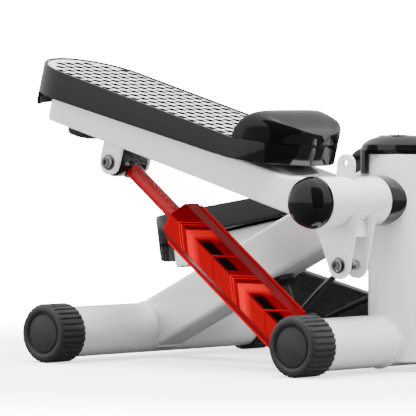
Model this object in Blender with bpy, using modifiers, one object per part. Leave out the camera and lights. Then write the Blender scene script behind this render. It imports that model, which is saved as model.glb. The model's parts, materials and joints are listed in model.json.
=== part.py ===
"""A mini stepper: two foot pedals that swing on one axle, with a damper under each pedal.

Metres, +Z up, toes towards +X. The right pedal is on the -Y side and stands raised, the left one lowered.
The origin is on the floor, at the middle of the outline.
"""
import math

import bmesh
import bpy
from mathutils import Matrix, Vector

# Frame
FRONT_X = 0.1638                 # axis of the front cross tube
WHEELBASE = 0.310                # between the two cross tubes
WIDTH = 0.3166                   # over the end caps
TUBE_R = 0.024
TUBE_WALL = 0.004
CAP_R = 0.028                    # end cap, and so the height of the tube axis
CAP_LENGTH = 0.032
CAP_FACE = 0.005
COLUMN_R = 0.036
COLUMN_WALL = 0.003
COLUMN_X = FRONT_X + 0.005
COLUMN_BOTTOM = 0.0092
COLUMN_TOP = 0.1995
BEAM_SLOPE = 25.5
BEAM_WIDTH = 0.040
BEAM_HEIGHT = 0.046
BEAM_WALL = 0.004
REAR_X = FRONT_X - WHEELBASE

# Pivot
PIVOT_X = COLUMN_X
PIVOT_Z = 0.157
AXLE_R = 0.010
AXLE_HALF = 0.128
PEDAL_Y = 0.090                  # middle of each pedal, from the machine's middle
SLEEVE_R = 0.023
SLEEVE_BORE_R = 0.016
SLEEVE_HALF = 0.041
RIGHT_TILT = 15.5                # degrees, heel raised
LEFT_TILT = -9.0

# Pedal, in its own frame: origin on the pivot axis, tread level
HEEL_X = -0.378
TOE_X = -0.036
PEDAL_R = 0.054                  # half the width, and the radius of both ends
TREAD_Z = 0.031
SKIRT_HEEL_Z = 0.003
SKIRT_TOE_Z = 0.0125
BEND_X = -0.103                  # where the toe end turns up
BEND_SLOPE = math.tan(math.radians(8.6))
SKIRT_WALL = 0.004
RIM_WIDTH = 0.0035
RIM_Z = TREAD_Z + 0.0012
TREAD_THICK = 0.0025
CELL_ROWS = 9                     # pockets between the ribs under the deck
CELL_LANES = 3
RIB_THICK = 0.0025
ARM_HALF_WIDTH = 0.039
ARM_BOTTOM_Z = -0.020
ARM_HEEL_X = -0.350
ARM_FRONT_X = -0.006
ARM_WALL = 0.003
CLEVIS_X = -0.270
CLEVIS_Z = -0.041
CLEVIS_HALF = 0.0225
CLEVIS_PLATE = 0.0035
BUMPER_X = -0.3295
BUMPER_R = 0.0155
BUMPER_HEIGHT = 0.012
LUG_REACH = 0.0575
LUG_LEAN = 20.6                  # degrees from straight down, towards the toe
LUG_HALF = 0.0135
EAR_LEAN = -11.0                 # degrees from straight up

# Dampers
PIN_X = FRONT_X - 0.047
PIN_Z = 0.026
ROD_R = 0.0075
ROD_EYE_R = 0.0135
ROD_EYE_HOLE_R = 0.0080          # wide, because this pivot is the open one of the linkage
ROD_EYE_HALF = 0.0165
BARREL_R = 0.015
BARREL_BORE_R = 0.012
BARREL_TOP = 0.188
BORE_FLOOR = 0.030
SHELL_BOTTOM = 0.014
SHELL_TOP = 0.184
SHELL_R = 0.0225                 # over the corners
BOLT_R = 0.004

# Cable
PULLEY_X = FRONT_X - 0.128
PULLEY_Z = 0.034
PULLEY_R = 0.020
PULLEY_HALF = 0.006
CABLE_R = 0.0028

# Console
CONSOLE_X = FRONT_X + 0.0005
CONSOLE_A = 0.0415
CONSOLE_B = 0.0370
CONSOLE_RIM = 0.2027
CONSOLE_HEIGHT = 0.014
CONSOLE_WALL = 0.0022
CONSOLE_SKIRT = 0.181

GAP = 0.0003
RIGHT = -1
LEFT = 1
SIDES = {"right": RIGHT, "left": LEFT}
TILTS = {"right": RIGHT_TILT, "left": LEFT_TILT}


def clear_scene():
    for thing in list(bpy.data.objects):
        bpy.data.objects.remove(thing, do_unlink=True)


def new_collection(name):
    collection = bpy.data.collections.new(name)
    bpy.context.scene.collection.children.link(collection)
    return collection


def new_material(name, colour, roughness, metallic=0.0):
    material = bpy.data.materials.new(name)
    material.use_nodes = True
    shader = material.node_tree.nodes["Principled BSDF"]
    shader.inputs["Base Color"].default_value = (*colour, 1.0)
    shader.inputs["Roughness"].default_value = roughness
    shader.inputs["Metallic"].default_value = metallic
    return material


clear_scene()
PARTS = new_collection("stepper")
CUTTERS = new_collection("cutters")
WHITE_PAINT = new_material("white_paint", (0.80, 0.80, 0.80), 0.25)
BLACK_GLOSS = new_material("black_gloss_plastic", (0.012, 0.012, 0.012), 0.12)
BLACK_MATT = new_material("black_matt_plastic", (0.03, 0.03, 0.03), 0.5)
RUBBER = new_material("black_rubber", (0.02, 0.02, 0.02), 0.7)
STEEL = new_material("bright_steel", (0.6, 0.6, 0.6), 0.25, 1.0)
CHROME = new_material("chrome", (0.8, 0.8, 0.8), 0.06, 1.0)
RED_SHELL = new_material("red_gloss_plastic", (0.57, 0.007, 0.007), 0.15)
TREAD = new_material("tread_silver", (0.55, 0.55, 0.55), 0.4)
BRONZE = new_material("sintered_bronze", (0.45, 0.28, 0.12), 0.45, 1.0)
BOARD = new_material("circuit_board", (0.02, 0.15, 0.05), 0.5)


# Building blocks

def new_object(name, mesh, material=None, parent=None):
    """An object in the parts collection, or among the cutters when it has no material."""
    thing = bpy.data.objects.new(name, mesh)
    if material is None:
        CUTTERS.objects.link(thing)
        thing.hide_render = True
        thing.display_type = "WIRE"
    else:
        PARTS.objects.link(thing)
        mesh.materials.append(material)
    thing.parent = parent
    return thing


def new_empty(name, location, tilt=0.0, parent=None):
    """A frame to hang pieces on, turned about Y so that a positive tilt raises its -X end."""
    empty = bpy.data.objects.new(name, None)
    PARTS.objects.link(empty)
    empty.location = location
    empty.rotation_euler.y = math.radians(tilt)
    empty.parent = parent
    return empty


def mesh_from(name, build):
    mesh = bpy.data.meshes.new(name)
    work = bmesh.new()
    build(work)
    bmesh.ops.recalc_face_normals(work, faces=work.faces)
    work.to_mesh(mesh)
    work.free()
    return mesh


def box(name, low, high, material=None, parent=None):
    """A block between two corners."""
    low = Vector(low)
    high = Vector(high)
    size = Matrix.Diagonal((high - low).to_4d())
    size[3][3] = 1.0

    def build(work):
        bmesh.ops.create_cube(work, size=1.0, matrix=Matrix.Translation((low + high) / 2) @ size)

    return new_object(name, mesh_from(name, build), material, parent)


def bar(name, start, end, radius, material=None, parent=None, sides=24):
    """A round bar between two points."""
    start = Vector(start)
    end = Vector(end)
    turn = (end - start).to_track_quat("Z", "Y").to_matrix().to_4x4()

    def build(work):
        bmesh.ops.create_cone(work, cap_ends=True, segments=sides, radius1=radius, radius2=radius,
                              depth=(end - start).length, matrix=Matrix.Translation((start + end) / 2) @ turn)

    thing = new_object(name, mesh_from(name, build), material, parent)
    smooth(thing)
    return thing


def smooth(thing):
    thing.data.shade_smooth()
    thing.data.set_sharp_from_angle(angle=math.radians(35))


def turned(name, profile, material=None, parent=None, steps=32, place=None):
    """A solid of revolution about its own Z: the (radius, height) profile runs top to bottom."""
    mesh = bpy.data.meshes.new(name)
    points = [(radius, 0, height) for radius, height in profile]
    closed = min(radius for radius, height in profile) > 0
    count = len(points)
    edges = [(i, (i + 1) % count) for i in range(count if closed else count - 1)]
    mesh.from_pydata(points, edges, [])
    thing = new_object(name, mesh, material, parent)
    screw = thing.modifiers.new("turn", "SCREW")
    screw.steps = steps
    screw.render_steps = steps
    screw.use_merge_vertices = True
    screw.merge_threshold = 0.00001
    screw.use_smooth_shade = False
    if place is not None:
        thing.matrix_local = place
    return thing


def sideways(y, side):
    """Turn a turned solid's +Z to point outwards on one side, with its origin at height y."""
    return Matrix.Translation((0, y, 0)) @ Matrix.Rotation(-side * math.pi / 2, 4, "X")


def outline(name, points, low, high, plane, material=None, parent=None):
    """A flat outline given thickness: plane XY is thick along Z, plane XZ is thick along Y."""
    curve = bpy.data.curves.new(name, "CURVE")
    curve.dimensions = "2D"
    curve.fill_mode = "BOTH"
    curve.extrude = (high - low) / 2
    spline = curve.splines.new("POLY")
    spline.points.add(len(points) - 1)
    for point, (u, v) in zip(spline.points, points):
        point.co = (u, v, 0, 1)
    spline.use_cyclic_u = True
    flat = bpy.data.objects.new(name, curve)
    PARTS.objects.link(flat)
    middle = (low + high) / 2
    if plane == "XZ":
        place = Matrix.Translation((0, middle, 0)) @ Matrix.Rotation(math.pi / 2, 4, "X")
    else:
        place = Matrix.Translation((0, 0, middle))
    mesh = bpy.data.meshes.new_from_object(flat.evaluated_get(bpy.context.evaluated_depsgraph_get()))
    bpy.data.objects.remove(flat, do_unlink=True)
    bpy.data.curves.remove(curve)
    mesh.transform(place)
    mesh.name = name
    mesh.materials.clear()
    work = bmesh.new()
    work.from_mesh(mesh)
    bmesh.ops.remove_doubles(work, verts=work.verts, dist=0.00001)
    bmesh.ops.recalc_face_normals(work, faces=work.faces)
    work.to_mesh(mesh)
    work.free()
    return new_object(name, mesh, material, parent)


def combine(thing, other, operation):
    boolean = thing.modifiers.new(operation.lower(), "BOOLEAN")
    boolean.operation = operation
    boolean.object = other
    boolean.solver = "EXACT"


def cut(thing, *cutters):
    for cutter in cutters:
        combine(thing, cutter, "DIFFERENCE")
    return thing


def join(thing, *others):
    for other in others:
        combine(thing, other, "UNION")
    return thing


def arc(centre, radius, start, end, count):
    """Points on an arc, angles in degrees from +X."""
    angles = [math.radians(start + (end - start) * i / (count - 1)) for i in range(count)]
    return [(centre[0] + radius * math.cos(a), centre[1] + radius * math.sin(a)) for a in angles]


def bolt(name, half_length, head_side, parent, x=0.0, y=0.0, z=0.0, head_r=0.0070, material=STEEL):
    """A bolt along Y with a hexagon head on one side and its nut on the other."""
    def build(work):
        for low, high, radius, sides in (
                (-half_length - 0.001, half_length + 0.001, BOLT_R, 16),
                (half_length + GAP, half_length + 0.0052, head_r, 6),
                (-half_length - 0.0062, -half_length - GAP, head_r, 6)):
            middle = Matrix.Translation((x, y + head_side * (low + high) / 2, z))
            bmesh.ops.create_cone(work, cap_ends=True, segments=sides, radius1=radius, radius2=radius,
                                  depth=high - low, matrix=middle @ Matrix.Rotation(math.pi / 2, 4, "X"))

    pieces = mesh_from(name, build)
    thing = new_object(name, pieces, material, parent)
    weld = thing.modifiers.new("one_body", "BOOLEAN")
    weld.operation = "UNION"
    weld.use_self = True
    weld.solver = "EXACT"
    weld.object = bar(name + "_core", (x, y - half_length, z), (x, y + half_length, z), BOLT_R * 0.5,
                      parent=parent, sides=8)
    return thing


# Frame

def cross_tube(name, x):
    half = WIDTH / 2 - CAP_FACE - GAP
    tube = bar(name, (x, -half, CAP_R), (x, half, CAP_R), TUBE_R, WHITE_PAINT, sides=32)
    over = half + 0.01
    bore = bar(name + "_bore", (x, -over, CAP_R), (x, over, CAP_R), TUBE_R - TUBE_WALL, sides=24)
    return cut(tube, bore)


def end_cap(name, x, side):
    """A ribbed rubber cap with a recessed disc in its face, pushed over the tube's end."""
    inside = CAP_LENGTH - CAP_FACE
    face = CAP_LENGTH
    profile = [(0, face - 0.0012), (0.0178, face - 0.0012), (0.0178, face - 0.0020), (0.0196, face - 0.0020),
               (0.0196, face - 0.0006), (0.0215, face), (CAP_R - 0.0028, face), (CAP_R - 0.0006, face - 0.0018),
               (CAP_R, face - 0.0042), (CAP_R, 0.0018), (CAP_R - 0.0015, 0), (TUBE_R + GAP, 0),
               (TUBE_R + GAP, inside), (0, inside)]
    place = Matrix.Translation((x, side * (WIDTH / 2 - CAP_LENGTH), CAP_R)) @ sideways(0, side)
    return turned(name, profile, RUBBER, steps=24, place=place)


def column():
    post = bar("column", (COLUMN_X, 0, COLUMN_BOTTOM), (COLUMN_X, 0, COLUMN_TOP), COLUMN_R, WHITE_PAINT, sides=36)
    reach = COLUMN_R + 0.01
    bore = bar("column_bore", (COLUMN_X, 0, 0), (COLUMN_X, 0, COLUMN_TOP + 0.01), COLUMN_R - COLUMN_WALL, sides=36)
    foot = bar("column_foot_hole", (FRONT_X, -reach, CAP_R), (FRONT_X, reach, CAP_R), TUBE_R + GAP, sides=32)
    axle = bar("column_axle_hole", (PIVOT_X, -reach, PIVOT_Z), (PIVOT_X, reach, PIVOT_Z), AXLE_R + GAP, sides=20)
    return cut(post, bore, foot, axle)


def beam_frame():
    """The main beam's own frame: origin on the rear tube's axis, +X along the beam."""
    return new_empty("beam_frame", (REAR_X, 0, CAP_R), -BEAM_SLOPE)


def main_beam(frame):
    length = WHEELBASE * 1.12
    width = BEAM_WIDTH / 2
    height = BEAM_HEIGHT / 2
    beam = box("main_beam", (0, -width, -height), (length, width, height), WHITE_PAINT, frame)
    inner = box("main_beam_bore", (-0.02, -width + BEAM_WALL, -height + BEAM_WALL),
                (length + 0.02, width - BEAM_WALL, height - BEAM_WALL), parent=frame)
    rear = bar("main_beam_rear_cope", (REAR_X, -0.05, CAP_R), (REAR_X, 0.05, CAP_R), TUBE_R + GAP, sides=32)
    front = bar("main_beam_front_cope", (COLUMN_X, 0, -0.05), (COLUMN_X, 0, 0.4), COLUMN_R + GAP, sides=36)
    past = box("main_beam_end", (COLUMN_X, -0.05, 0), (COLUMN_X + 0.1, 0.05, 0.4))
    return cut(beam, inner, rear, front, past)


def pivot_axle():
    axle = bar("pivot_axle", (PIVOT_X, -AXLE_HALF, PIVOT_Z), (PIVOT_X, AXLE_HALF, PIVOT_Z), AXLE_R, STEEL, sides=20)
    depth = 0.022
    for word, side in SIDES.items():
        hole = bar("axle_tapping_" + word, (PIVOT_X, side * (AXLE_HALF - depth), PIVOT_Z),
                   (PIVOT_X, side * (AXLE_HALF + 0.01), PIVOT_Z), BOLT_R + GAP, sides=12)
        cut(axle, hole)
    return axle


def axle_screw(name, side):
    """The screw and washer that keep a pedal on the axle."""
    profile = [(0, 0.0075), (0.0075, 0.0075), (0.0075, 0.002), (0.013, 0.002), (0.013, 0),
               (BOLT_R, 0), (BOLT_R, -0.018), (0, -0.018)]
    place = Matrix.Translation((PIVOT_X, side * (AXLE_HALF + GAP), PIVOT_Z)) @ sideways(0, side)
    return turned(name, profile, STEEL, steps=16, place=place)


def pivot_spacer(name, side):
    """A collar from the column to the pedal's sleeve, cut to the column's curve."""
    outer = PEDAL_Y - SLEEVE_HALF - GAP
    collar = bar(name, (PIVOT_X, side * 0.024, PIVOT_Z), (PIVOT_X, side * outer, PIVOT_Z), SLEEVE_R, BLACK_GLOSS,
                 sides=32)
    hole = bar(name + "_bore", (PIVOT_X, side * 0.01, PIVOT_Z), (PIVOT_X, side * 0.06, PIVOT_Z), AXLE_R + GAP,
               sides=20)
    saddle = bar(name + "_saddle", (COLUMN_X, 0, 0.1), (COLUMN_X, 0, 0.22), COLUMN_R + GAP, sides=36)
    return cut(collar, hole, saddle)


def pulley_bracket(frame, centre):
    """A post that hangs from the beam, square to it, and carries the pulley on its thinner end."""
    top = -BEAM_HEIGHT / 2 - GAP
    level = centre.z
    above = level + PULLEY_HALF + GAP
    below = level - PULLEY_HALF - GAP
    profile = [(0, top), (0.014, top), (0.014, top - 0.004), (0.006, top - 0.008), (0.006, above),
               (BOLT_R, above), (BOLT_R, below), (0.008, below), (0.008, below - 0.003), (0, below - 0.003)]
    place = Matrix.Translation((centre.x, 0, 0))
    return turned("pulley_bracket", profile, BLACK_MATT, frame, steps=20, place=place)


def cable_pulley(frame, centre):
    groove = CABLE_R + 0.0004
    rim = PULLEY_R + CABLE_R * 0.6
    waist = PULLEY_R - groove
    profile = [(rim, PULLEY_HALF), (rim, groove), (waist, groove), (waist, -groove), (rim, -groove),
               (rim, -PULLEY_HALF), (BOLT_R + GAP, -PULLEY_HALF), (BOLT_R + GAP, PULLEY_HALF)]
    return turned("cable_pulley", profile, BLACK_MATT, frame, steps=28, place=Matrix.Translation(centre))


# Pedals

def foot_outline(inset):
    """The pedal's plan: straight sides between two half circles."""
    radius = PEDAL_R - inset
    toe = arc((TOE_X - PEDAL_R, 0), radius, -90, 90, 15)
    heel = arc((HEEL_X + PEDAL_R, 0), radius, 90, 270, 15)
    return toe + [(BEND_X, radius)] + heel + [(BEND_X, -radius)]


def turn_up_toe(thing):
    """Crease the piece across the bend line and shear what lies past it, so the toe end slopes up."""
    work = bmesh.new()
    work.from_mesh(thing.data)
    bmesh.ops.bisect_plane(work, geom=work.verts[:] + work.edges[:] + work.faces[:], dist=0.00001,
                           plane_co=(BEND_X, 0, 0), plane_no=(1, 0, 0))
    for vertex in work.verts:
        vertex.co.z += max(0.0, vertex.co.x - BEND_X) * BEND_SLOPE
    work.to_mesh(thing.data)
    work.free()


def skirt_floor(x):
    """Height of the skirt's lower edge, before the toe is turned up."""
    return SKIRT_HEEL_Z + (SKIRT_TOE_Z - SKIRT_HEEL_Z) * (x - HEEL_X) / (BEND_X - HEEL_X)


def footplate(name, frame):
    """The black tray: a skirt, a deck and crossed ribs, open below, with a recess for the tread."""
    plate = outline(name, foot_outline(0), -0.01, RIM_Z, "XY", BLACK_GLOSS, frame)
    recess = outline(name + "_recess", foot_outline(RIM_WIDTH), TREAD_Z - TREAD_THICK, TREAD_Z + 0.01, "XY",
                     parent=frame)
    turn_up_toe(plate)
    turn_up_toe(recess)
    behind = HEEL_X - 0.01
    side_view = [(behind, -0.05), (0, -0.05), (0, skirt_floor(0)), (BEND_X, SKIRT_TOE_Z), (behind, skirt_floor(behind))]
    below = outline(name + "_below", side_view, -0.07, 0.07, "XZ", parent=frame)
    for vertex in below.data.vertices:
        if vertex.co.x > BEND_X and vertex.co.z > -0.04:
            vertex.co.z = SKIRT_TOE_Z + (vertex.co.x - BEND_X) * BEND_SLOPE
    cut(plate, recess, below)
    start = HEEL_X + 0.030
    pitch = 0.268 / CELL_ROWS
    half = PEDAL_R - SKIRT_WALL - 0.014
    lane = 2 * half / CELL_LANES
    deck = TREAD_Z - TREAD_THICK - SKIRT_WALL
    work_mesh = bpy.data.meshes.new(name + "_cells")
    work = bmesh.new()
    for row in range(CELL_ROWS):
        for number in range(CELL_LANES):
            low = Vector((start + row * pitch, -half + number * lane, -0.03))
            high = Vector((low.x + pitch - RIB_THICK, low.y + lane - RIB_THICK, deck))
            size = Matrix.Diagonal((*(high - low), 1.0))
            bmesh.ops.create_cube(work, size=1.0, matrix=Matrix.Translation((low + high) / 2) @ size)
    work.to_mesh(work_mesh)
    work.free()
    cells = new_object(name + "_cells", work_mesh, parent=frame)
    return cut(plate, cells)


def tread_plate(name, frame):
    points = foot_outline(RIM_WIDTH + GAP)
    plate = outline(name, points, TREAD_Z - TREAD_THICK + GAP, TREAD_Z, "XY", TREAD, frame)
    turn_up_toe(plate)
    return plate


def toe_crest(x):
    """Height of the toe cap's top line above the pedal's origin."""
    stations = [(BEND_X, TREAD_Z + 0.004), (-0.097, 0.049), (-0.086, 0.061), (-0.070, 0.0575), (-0.052, 0.0515),
                (TOE_X, 0.048)]
    for (x0, z0), (x1, z1) in zip(stations, stations[1:]):
        if x <= x1:
            return z0 + (z1 - z0) * (x - x0) / (x1 - x0)
    return stations[-1][1]


def toe_cap(name, frame):
    """A hood over the toe end: a row of arched sections from a ridge down to the toe."""
    middle = TOE_X - PEDAL_R
    stations = [BEND_X + 2 * GAP, -0.097, -0.086, middle + 0.012, middle + 0.024, middle + 0.036, middle + 0.046,
                TOE_X - 0.001]
    across = 13

    def build(work):
        rings = []
        for x in stations:
            past = max(0.0, x - middle)
            half = math.sqrt(PEDAL_R ** 2 - past ** 2)
            base = RIM_Z + GAP + (x - BEND_X) * BEND_SLOPE
            ring = []
            for i in range(across):
                angle = math.pi * i / (across - 1)
                share = abs(math.sin(angle)) ** 0.55
                y = half * math.copysign(abs(math.cos(angle)) ** 0.45, math.cos(angle))
                ring.append(work.verts.new((x, y, base + (toe_crest(x) - base) * share)))
            rings.append(ring)
        for ring, following in zip(rings, rings[1:]):
            for i in range(across):
                j = (i + 1) % across
                work.faces.new((ring[i], ring[j], following[j], following[i]))
        work.faces.new(rings[0])
        work.faces.new(rings[-1])

    return new_object(name, mesh_from(name, build), BLACK_GLOSS, frame)


def pedal_arm(name, frame):
    """A welded channel under the footplate, with one web along its middle, coped to the sleeve."""
    clear = 0.0005
    top_heel = skirt_floor(ARM_HEEL_X) - clear
    side_view = [(ARM_HEEL_X, ARM_BOTTOM_Z), (ARM_FRONT_X, ARM_BOTTOM_Z), (-0.0165, 0.0185), (-0.04, 0.0170),
                 (BEND_X, SKIRT_TOE_Z - clear), (ARM_HEEL_X, top_heel)]
    arm = outline(name, side_view, -ARM_HALF_WIDTH, ARM_HALF_WIDTH, "XZ", WHITE_PAINT, frame)
    rounding = 0.014
    flat = ARM_HALF_WIDTH - rounding
    plan = (arc((ARM_HEEL_X + rounding, flat), rounding, 90, 180, 6)
            + arc((ARM_HEEL_X + rounding, -flat), rounding, 180, 270, 6)
            + [(0.0, -ARM_HALF_WIDTH), (0.0, ARM_HALF_WIDTH)])
    rounded = outline(name + "_plan", plan, -0.05, 0.05, "XY", parent=frame)
    combine(arm, rounded, "INTERSECT")
    sleeve = bar(name + "_cope", (0, -0.06, 0), (0, 0.06, 0), SLEEVE_R + GAP, parent=frame, sides=32)
    cut(arm, sleeve)
    for word, side in SIDES.items():
        near = side * (ARM_WALL / 2)
        far = side * (ARM_HALF_WIDTH - ARM_WALL)
        cut(arm, box(name + "_channel_" + word, (ARM_HEEL_X + rounding, min(near, far), ARM_BOTTOM_Z + ARM_WALL),
                     (-0.05, max(near, far), 0.05), parent=frame))
    return arm


def pivot_sleeve(name, frame):
    sleeve = bar(name, (0, -SLEEVE_HALF, 0), (0, SLEEVE_HALF, 0), SLEEVE_R, WHITE_PAINT, frame, sides=32)
    bore = bar(name + "_bore", (0, -0.06, 0), (0, 0.06, 0), SLEEVE_BORE_R, parent=frame, sides=24)
    return cut(sleeve, bore)


def bushing(name, frame, y):
    """A plain bearing bush in the sleeve, running on the axle."""
    outer = SLEEVE_BORE_R - GAP
    inner = AXLE_R + GAP
    half = 0.009
    profile = [(outer, half), (outer, -half), (inner, -half), (inner, half)]
    return turned(name, profile, BRONZE, frame, steps=20, place=sideways(y, LEFT))


def sleeve_cap(name, frame, side):
    """The domed cap over the sleeve's outer end, hollow for the screw head, with a spigot."""
    rim = 0.0236
    dome = 0.0144
    straight = 0.008
    steps = 5
    curve = [(rim * math.sin(math.pi / 2 * i / steps), straight + dome * math.cos(math.pi / 2 * i / steps))
             for i in range(steps + 1)]
    inner = SLEEVE_BORE_R - GAP
    profile = curve + [(rim, 0), (inner, 0), (inner, -0.0045), (0.0137, -0.0045), (0.0137, 0.010), (0, 0.010)]
    return turned(name, profile, BLACK_GLOSS, frame, steps=28, place=sideways(side * (SLEEVE_HALF + GAP), side))


def cable_lug(name, frame):
    """Two tapered plates joined by a web under the sleeve, which hold the cable's bolt."""
    swing = new_empty(name + "_frame", (0, 0, 0), -LUG_LEAN, frame)
    end = 0.0125
    face = (arc((0, -LUG_REACH), end, 180, 360, 9) + [(0.0265, -0.014), (-0.0265, -0.014)])
    thick = 0.003
    lug = outline(name, face, -LUG_HALF, -LUG_HALF + thick, "XZ", WHITE_PAINT, swing)
    second = outline(name + "_second_plate", face, LUG_HALF - thick, LUG_HALF, "XZ", parent=swing)
    web = box(name + "_web", (-0.015, -LUG_HALF + 0.001, -0.033), (0.015, LUG_HALF - 0.001, -0.018), parent=swing)
    join(lug, second, web)
    sleeve = bar(name + "_seat", (0, -0.03, 0), (0, 0.03, 0), SLEEVE_R + GAP, parent=swing, sides=32)
    hole = bar(name + "_hole", (0, -0.03, -LUG_REACH), (0, 0.03, -LUG_REACH), BOLT_R + GAP, parent=swing, sides=16)
    arm = box(name + "_clearance", (-0.06, -0.03, ARM_BOTTOM_Z - GAP), (ARM_FRONT_X + GAP, 0.03, 0.03), parent=frame)
    return cut(lug, sleeve, hole, arm), swing


def band_ear(name, frame):
    """A plate eye on top of the sleeve, to hook a resistance band into."""
    lean = new_empty(name + "_frame", (0, 0, 0), EAR_LEAN, frame)
    half = 0.0095
    face = arc((0, 0.0337), half, 0, 180, 9) + [(-half, 0.015), (half, 0.015)]
    ear = outline(name, face, -0.002, 0.002, "XZ", WHITE_PAINT, lean)
    seat = bar(name + "_seat", (0, -0.03, 0), (0, 0.03, 0), SLEEVE_R + GAP, parent=lean, sides=32)
    eye = bar(name + "_eye", (0, -0.03, 0.0345), (0, 0.03, 0.0345), 0.0033, parent=lean, sides=12)
    return cut(ear, seat, eye)


def damper_clevis(name, frame):
    """A U bracket under the arm that takes the top of the damper."""
    half = 0.012
    top = ARM_BOTTOM_Z - GAP
    cheek = arc((CLEVIS_X, CLEVIS_Z), half, 180, 360, 9) + [(CLEVIS_X + half, top), (CLEVIS_X - half, top)]
    block = outline(name, cheek, -CLEVIS_HALF, CLEVIS_HALF, "XZ", WHITE_PAINT, frame)
    inside = CLEVIS_HALF - CLEVIS_PLATE
    slot = box(name + "_slot", (CLEVIS_X - 0.02, -inside, CLEVIS_Z - 0.02), (CLEVIS_X + 0.02, inside, top - 0.003),
               parent=frame)
    hole = bar(name + "_hole", (CLEVIS_X, -0.03, CLEVIS_Z), (CLEVIS_X, 0.03, CLEVIS_Z), BOLT_R + GAP, parent=frame,
               sides=16)
    return cut(block, slot, hole)


def bumper(name, frame):
    top = ARM_BOTTOM_Z - GAP
    low = top - BUMPER_HEIGHT
    profile = [(0, top), (BUMPER_R, top), (BUMPER_R, low + 0.002), (BUMPER_R - 0.002, low), (0, low)]
    return turned(name, profile, RUBBER, frame, steps=24, place=Matrix.Translation((BUMPER_X, 0, 0)))


def pedal(word):
    side = SIDES[word]
    frame = new_empty("pedal_frame_" + word, (PIVOT_X, side * PEDAL_Y, PIVOT_Z), TILTS[word])
    pedal_arm("pedal_arm_" + word, frame)
    pivot_sleeve("pivot_sleeve_" + word, frame)
    bushing("outer_bushing_" + word, frame, side * 0.026)
    bushing("inner_bushing_" + word, frame, -side * 0.026)
    sleeve_cap("sleeve_cap_" + word, frame, side)
    lug, swing = cable_lug("cable_lug_" + word, frame)
    bolt("cable_bolt_" + word, LUG_HALF, side, swing, z=-LUG_REACH)
    band_ear("band_ear_" + word, frame)
    damper_clevis("damper_clevis_" + word, frame)
    bolt("clevis_bolt_" + word, CLEVIS_HALF, side, frame, x=CLEVIS_X, z=CLEVIS_Z)
    footplate("footplate_" + word, frame)
    tread_plate("tread_plate_" + word, frame)
    toe_cap("toe_cap_" + word, frame)
    bumper("bumper_" + word, frame)


# Dampers

def upper_pin(word):
    """Where a pedal holds the top of its damper, in the X-Z plane."""
    tilt = math.radians(TILTS[word])
    x = CLEVIS_X * math.cos(tilt) + CLEVIS_Z * math.sin(tilt)
    z = -CLEVIS_X * math.sin(tilt) + CLEVIS_Z * math.cos(tilt)
    return Vector((PIVOT_X + x, SIDES[word] * PEDAL_Y, PIVOT_Z + z))


def damper_barrel(name, frame):
    """The oil-filled tube: an eye at the bottom, a bore for the piston, a gland around the rod."""
    gland = ROD_R + GAP
    bore = BARREL_BORE_R
    top = BARREL_TOP
    outside = [(BARREL_R - 0.003, top), (BARREL_R - 0.0005, top - 0.004), (BARREL_R, top - 0.006),
               (BARREL_R, SHELL_BOTTOM), (0.0078, 0.008), (0, 0.008)]
    inside = [(0, BORE_FLOOR), (bore, BORE_FLOOR), (bore, top - 0.012), (gland, top - 0.012), (gland, top)]
    barrel = turned(name, outside + inside + outside[:1], STEEL, frame, steps=24)
    eye = bar(name + "_eye", (0, -0.008, 0), (0, 0.008, 0), 0.0095, parent=frame, sides=20)
    hole = bar(name + "_eye_hole", (0, -0.02, 0), (0, 0.02, 0), BOLT_R + GAP, parent=frame, sides=16)
    return cut(join(barrel, eye), hole)


def damper_shell(name, frame, material):
    """The eight-sided cover round the barrel, one corner row facing outwards and up."""
    shell = bar(name, (0, 0, SHELL_BOTTOM), (0, 0, SHELL_TOP), SHELL_R, material, frame, sides=8)
    shell.rotation_euler.z = math.radians(22.5)
    hole = bar(name + "_bore", (0, 0, 0), (0, 0, 0.3), BARREL_R + GAP, parent=frame, sides=24)
    return cut(shell, hole)


def piston_rod(name, frame, length):
    """The rod with its piston below and its eye above, at the length of this pose."""
    eye = bar(name, (0, -ROD_EYE_HALF, length), (0, ROD_EYE_HALF, length), ROD_EYE_R, CHROME, frame, sides=24)
    foot = BORE_FLOOR + length - 0.201
    profile = [(0, length - 0.009), (ROD_R, length - 0.009), (ROD_R, foot + 0.008),
               (BARREL_BORE_R - GAP, foot + 0.008),
               (BARREL_BORE_R - GAP, foot), (0, foot)]
    rod = turned(name + "_shank", profile, parent=frame, steps=16)
    hole = bar(name + "_hole", (0, -0.03, length), (0, 0.03, length), ROD_EYE_HOLE_R, parent=frame, sides=20)
    return cut(join(eye, rod), hole)


def damper_lug(name, side):
    """The U bracket behind the front tube that holds the bottom of a damper."""
    gap = 0.0088
    thick = 0.0032
    y = side * PEDAL_Y
    half = gap + thick
    cheek = arc((PIN_X, PIN_Z), 0.0085, 90, 270, 9)
    cheek += [(FRONT_X - 0.010, PIN_Z - 0.0085), (FRONT_X - 0.010, PIN_Z + 0.0125)]
    block = outline(name, cheek, y - half, y + half, "XZ", WHITE_PAINT)
    slot = box(name + "_slot", (PIN_X - 0.03, y - gap, 0), (PIN_X + 0.0125, y + gap, 0.06))
    tube = bar(name + "_seat", (FRONT_X, y - 0.03, CAP_R), (FRONT_X, y + 0.03, CAP_R), TUBE_R + GAP, sides=32)
    hole = bar(name + "_hole", (PIN_X, y - 0.03, PIN_Z), (PIN_X, y + 0.03, PIN_Z), BOLT_R + GAP, sides=16)
    return cut(block, slot, tube, hole)


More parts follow.
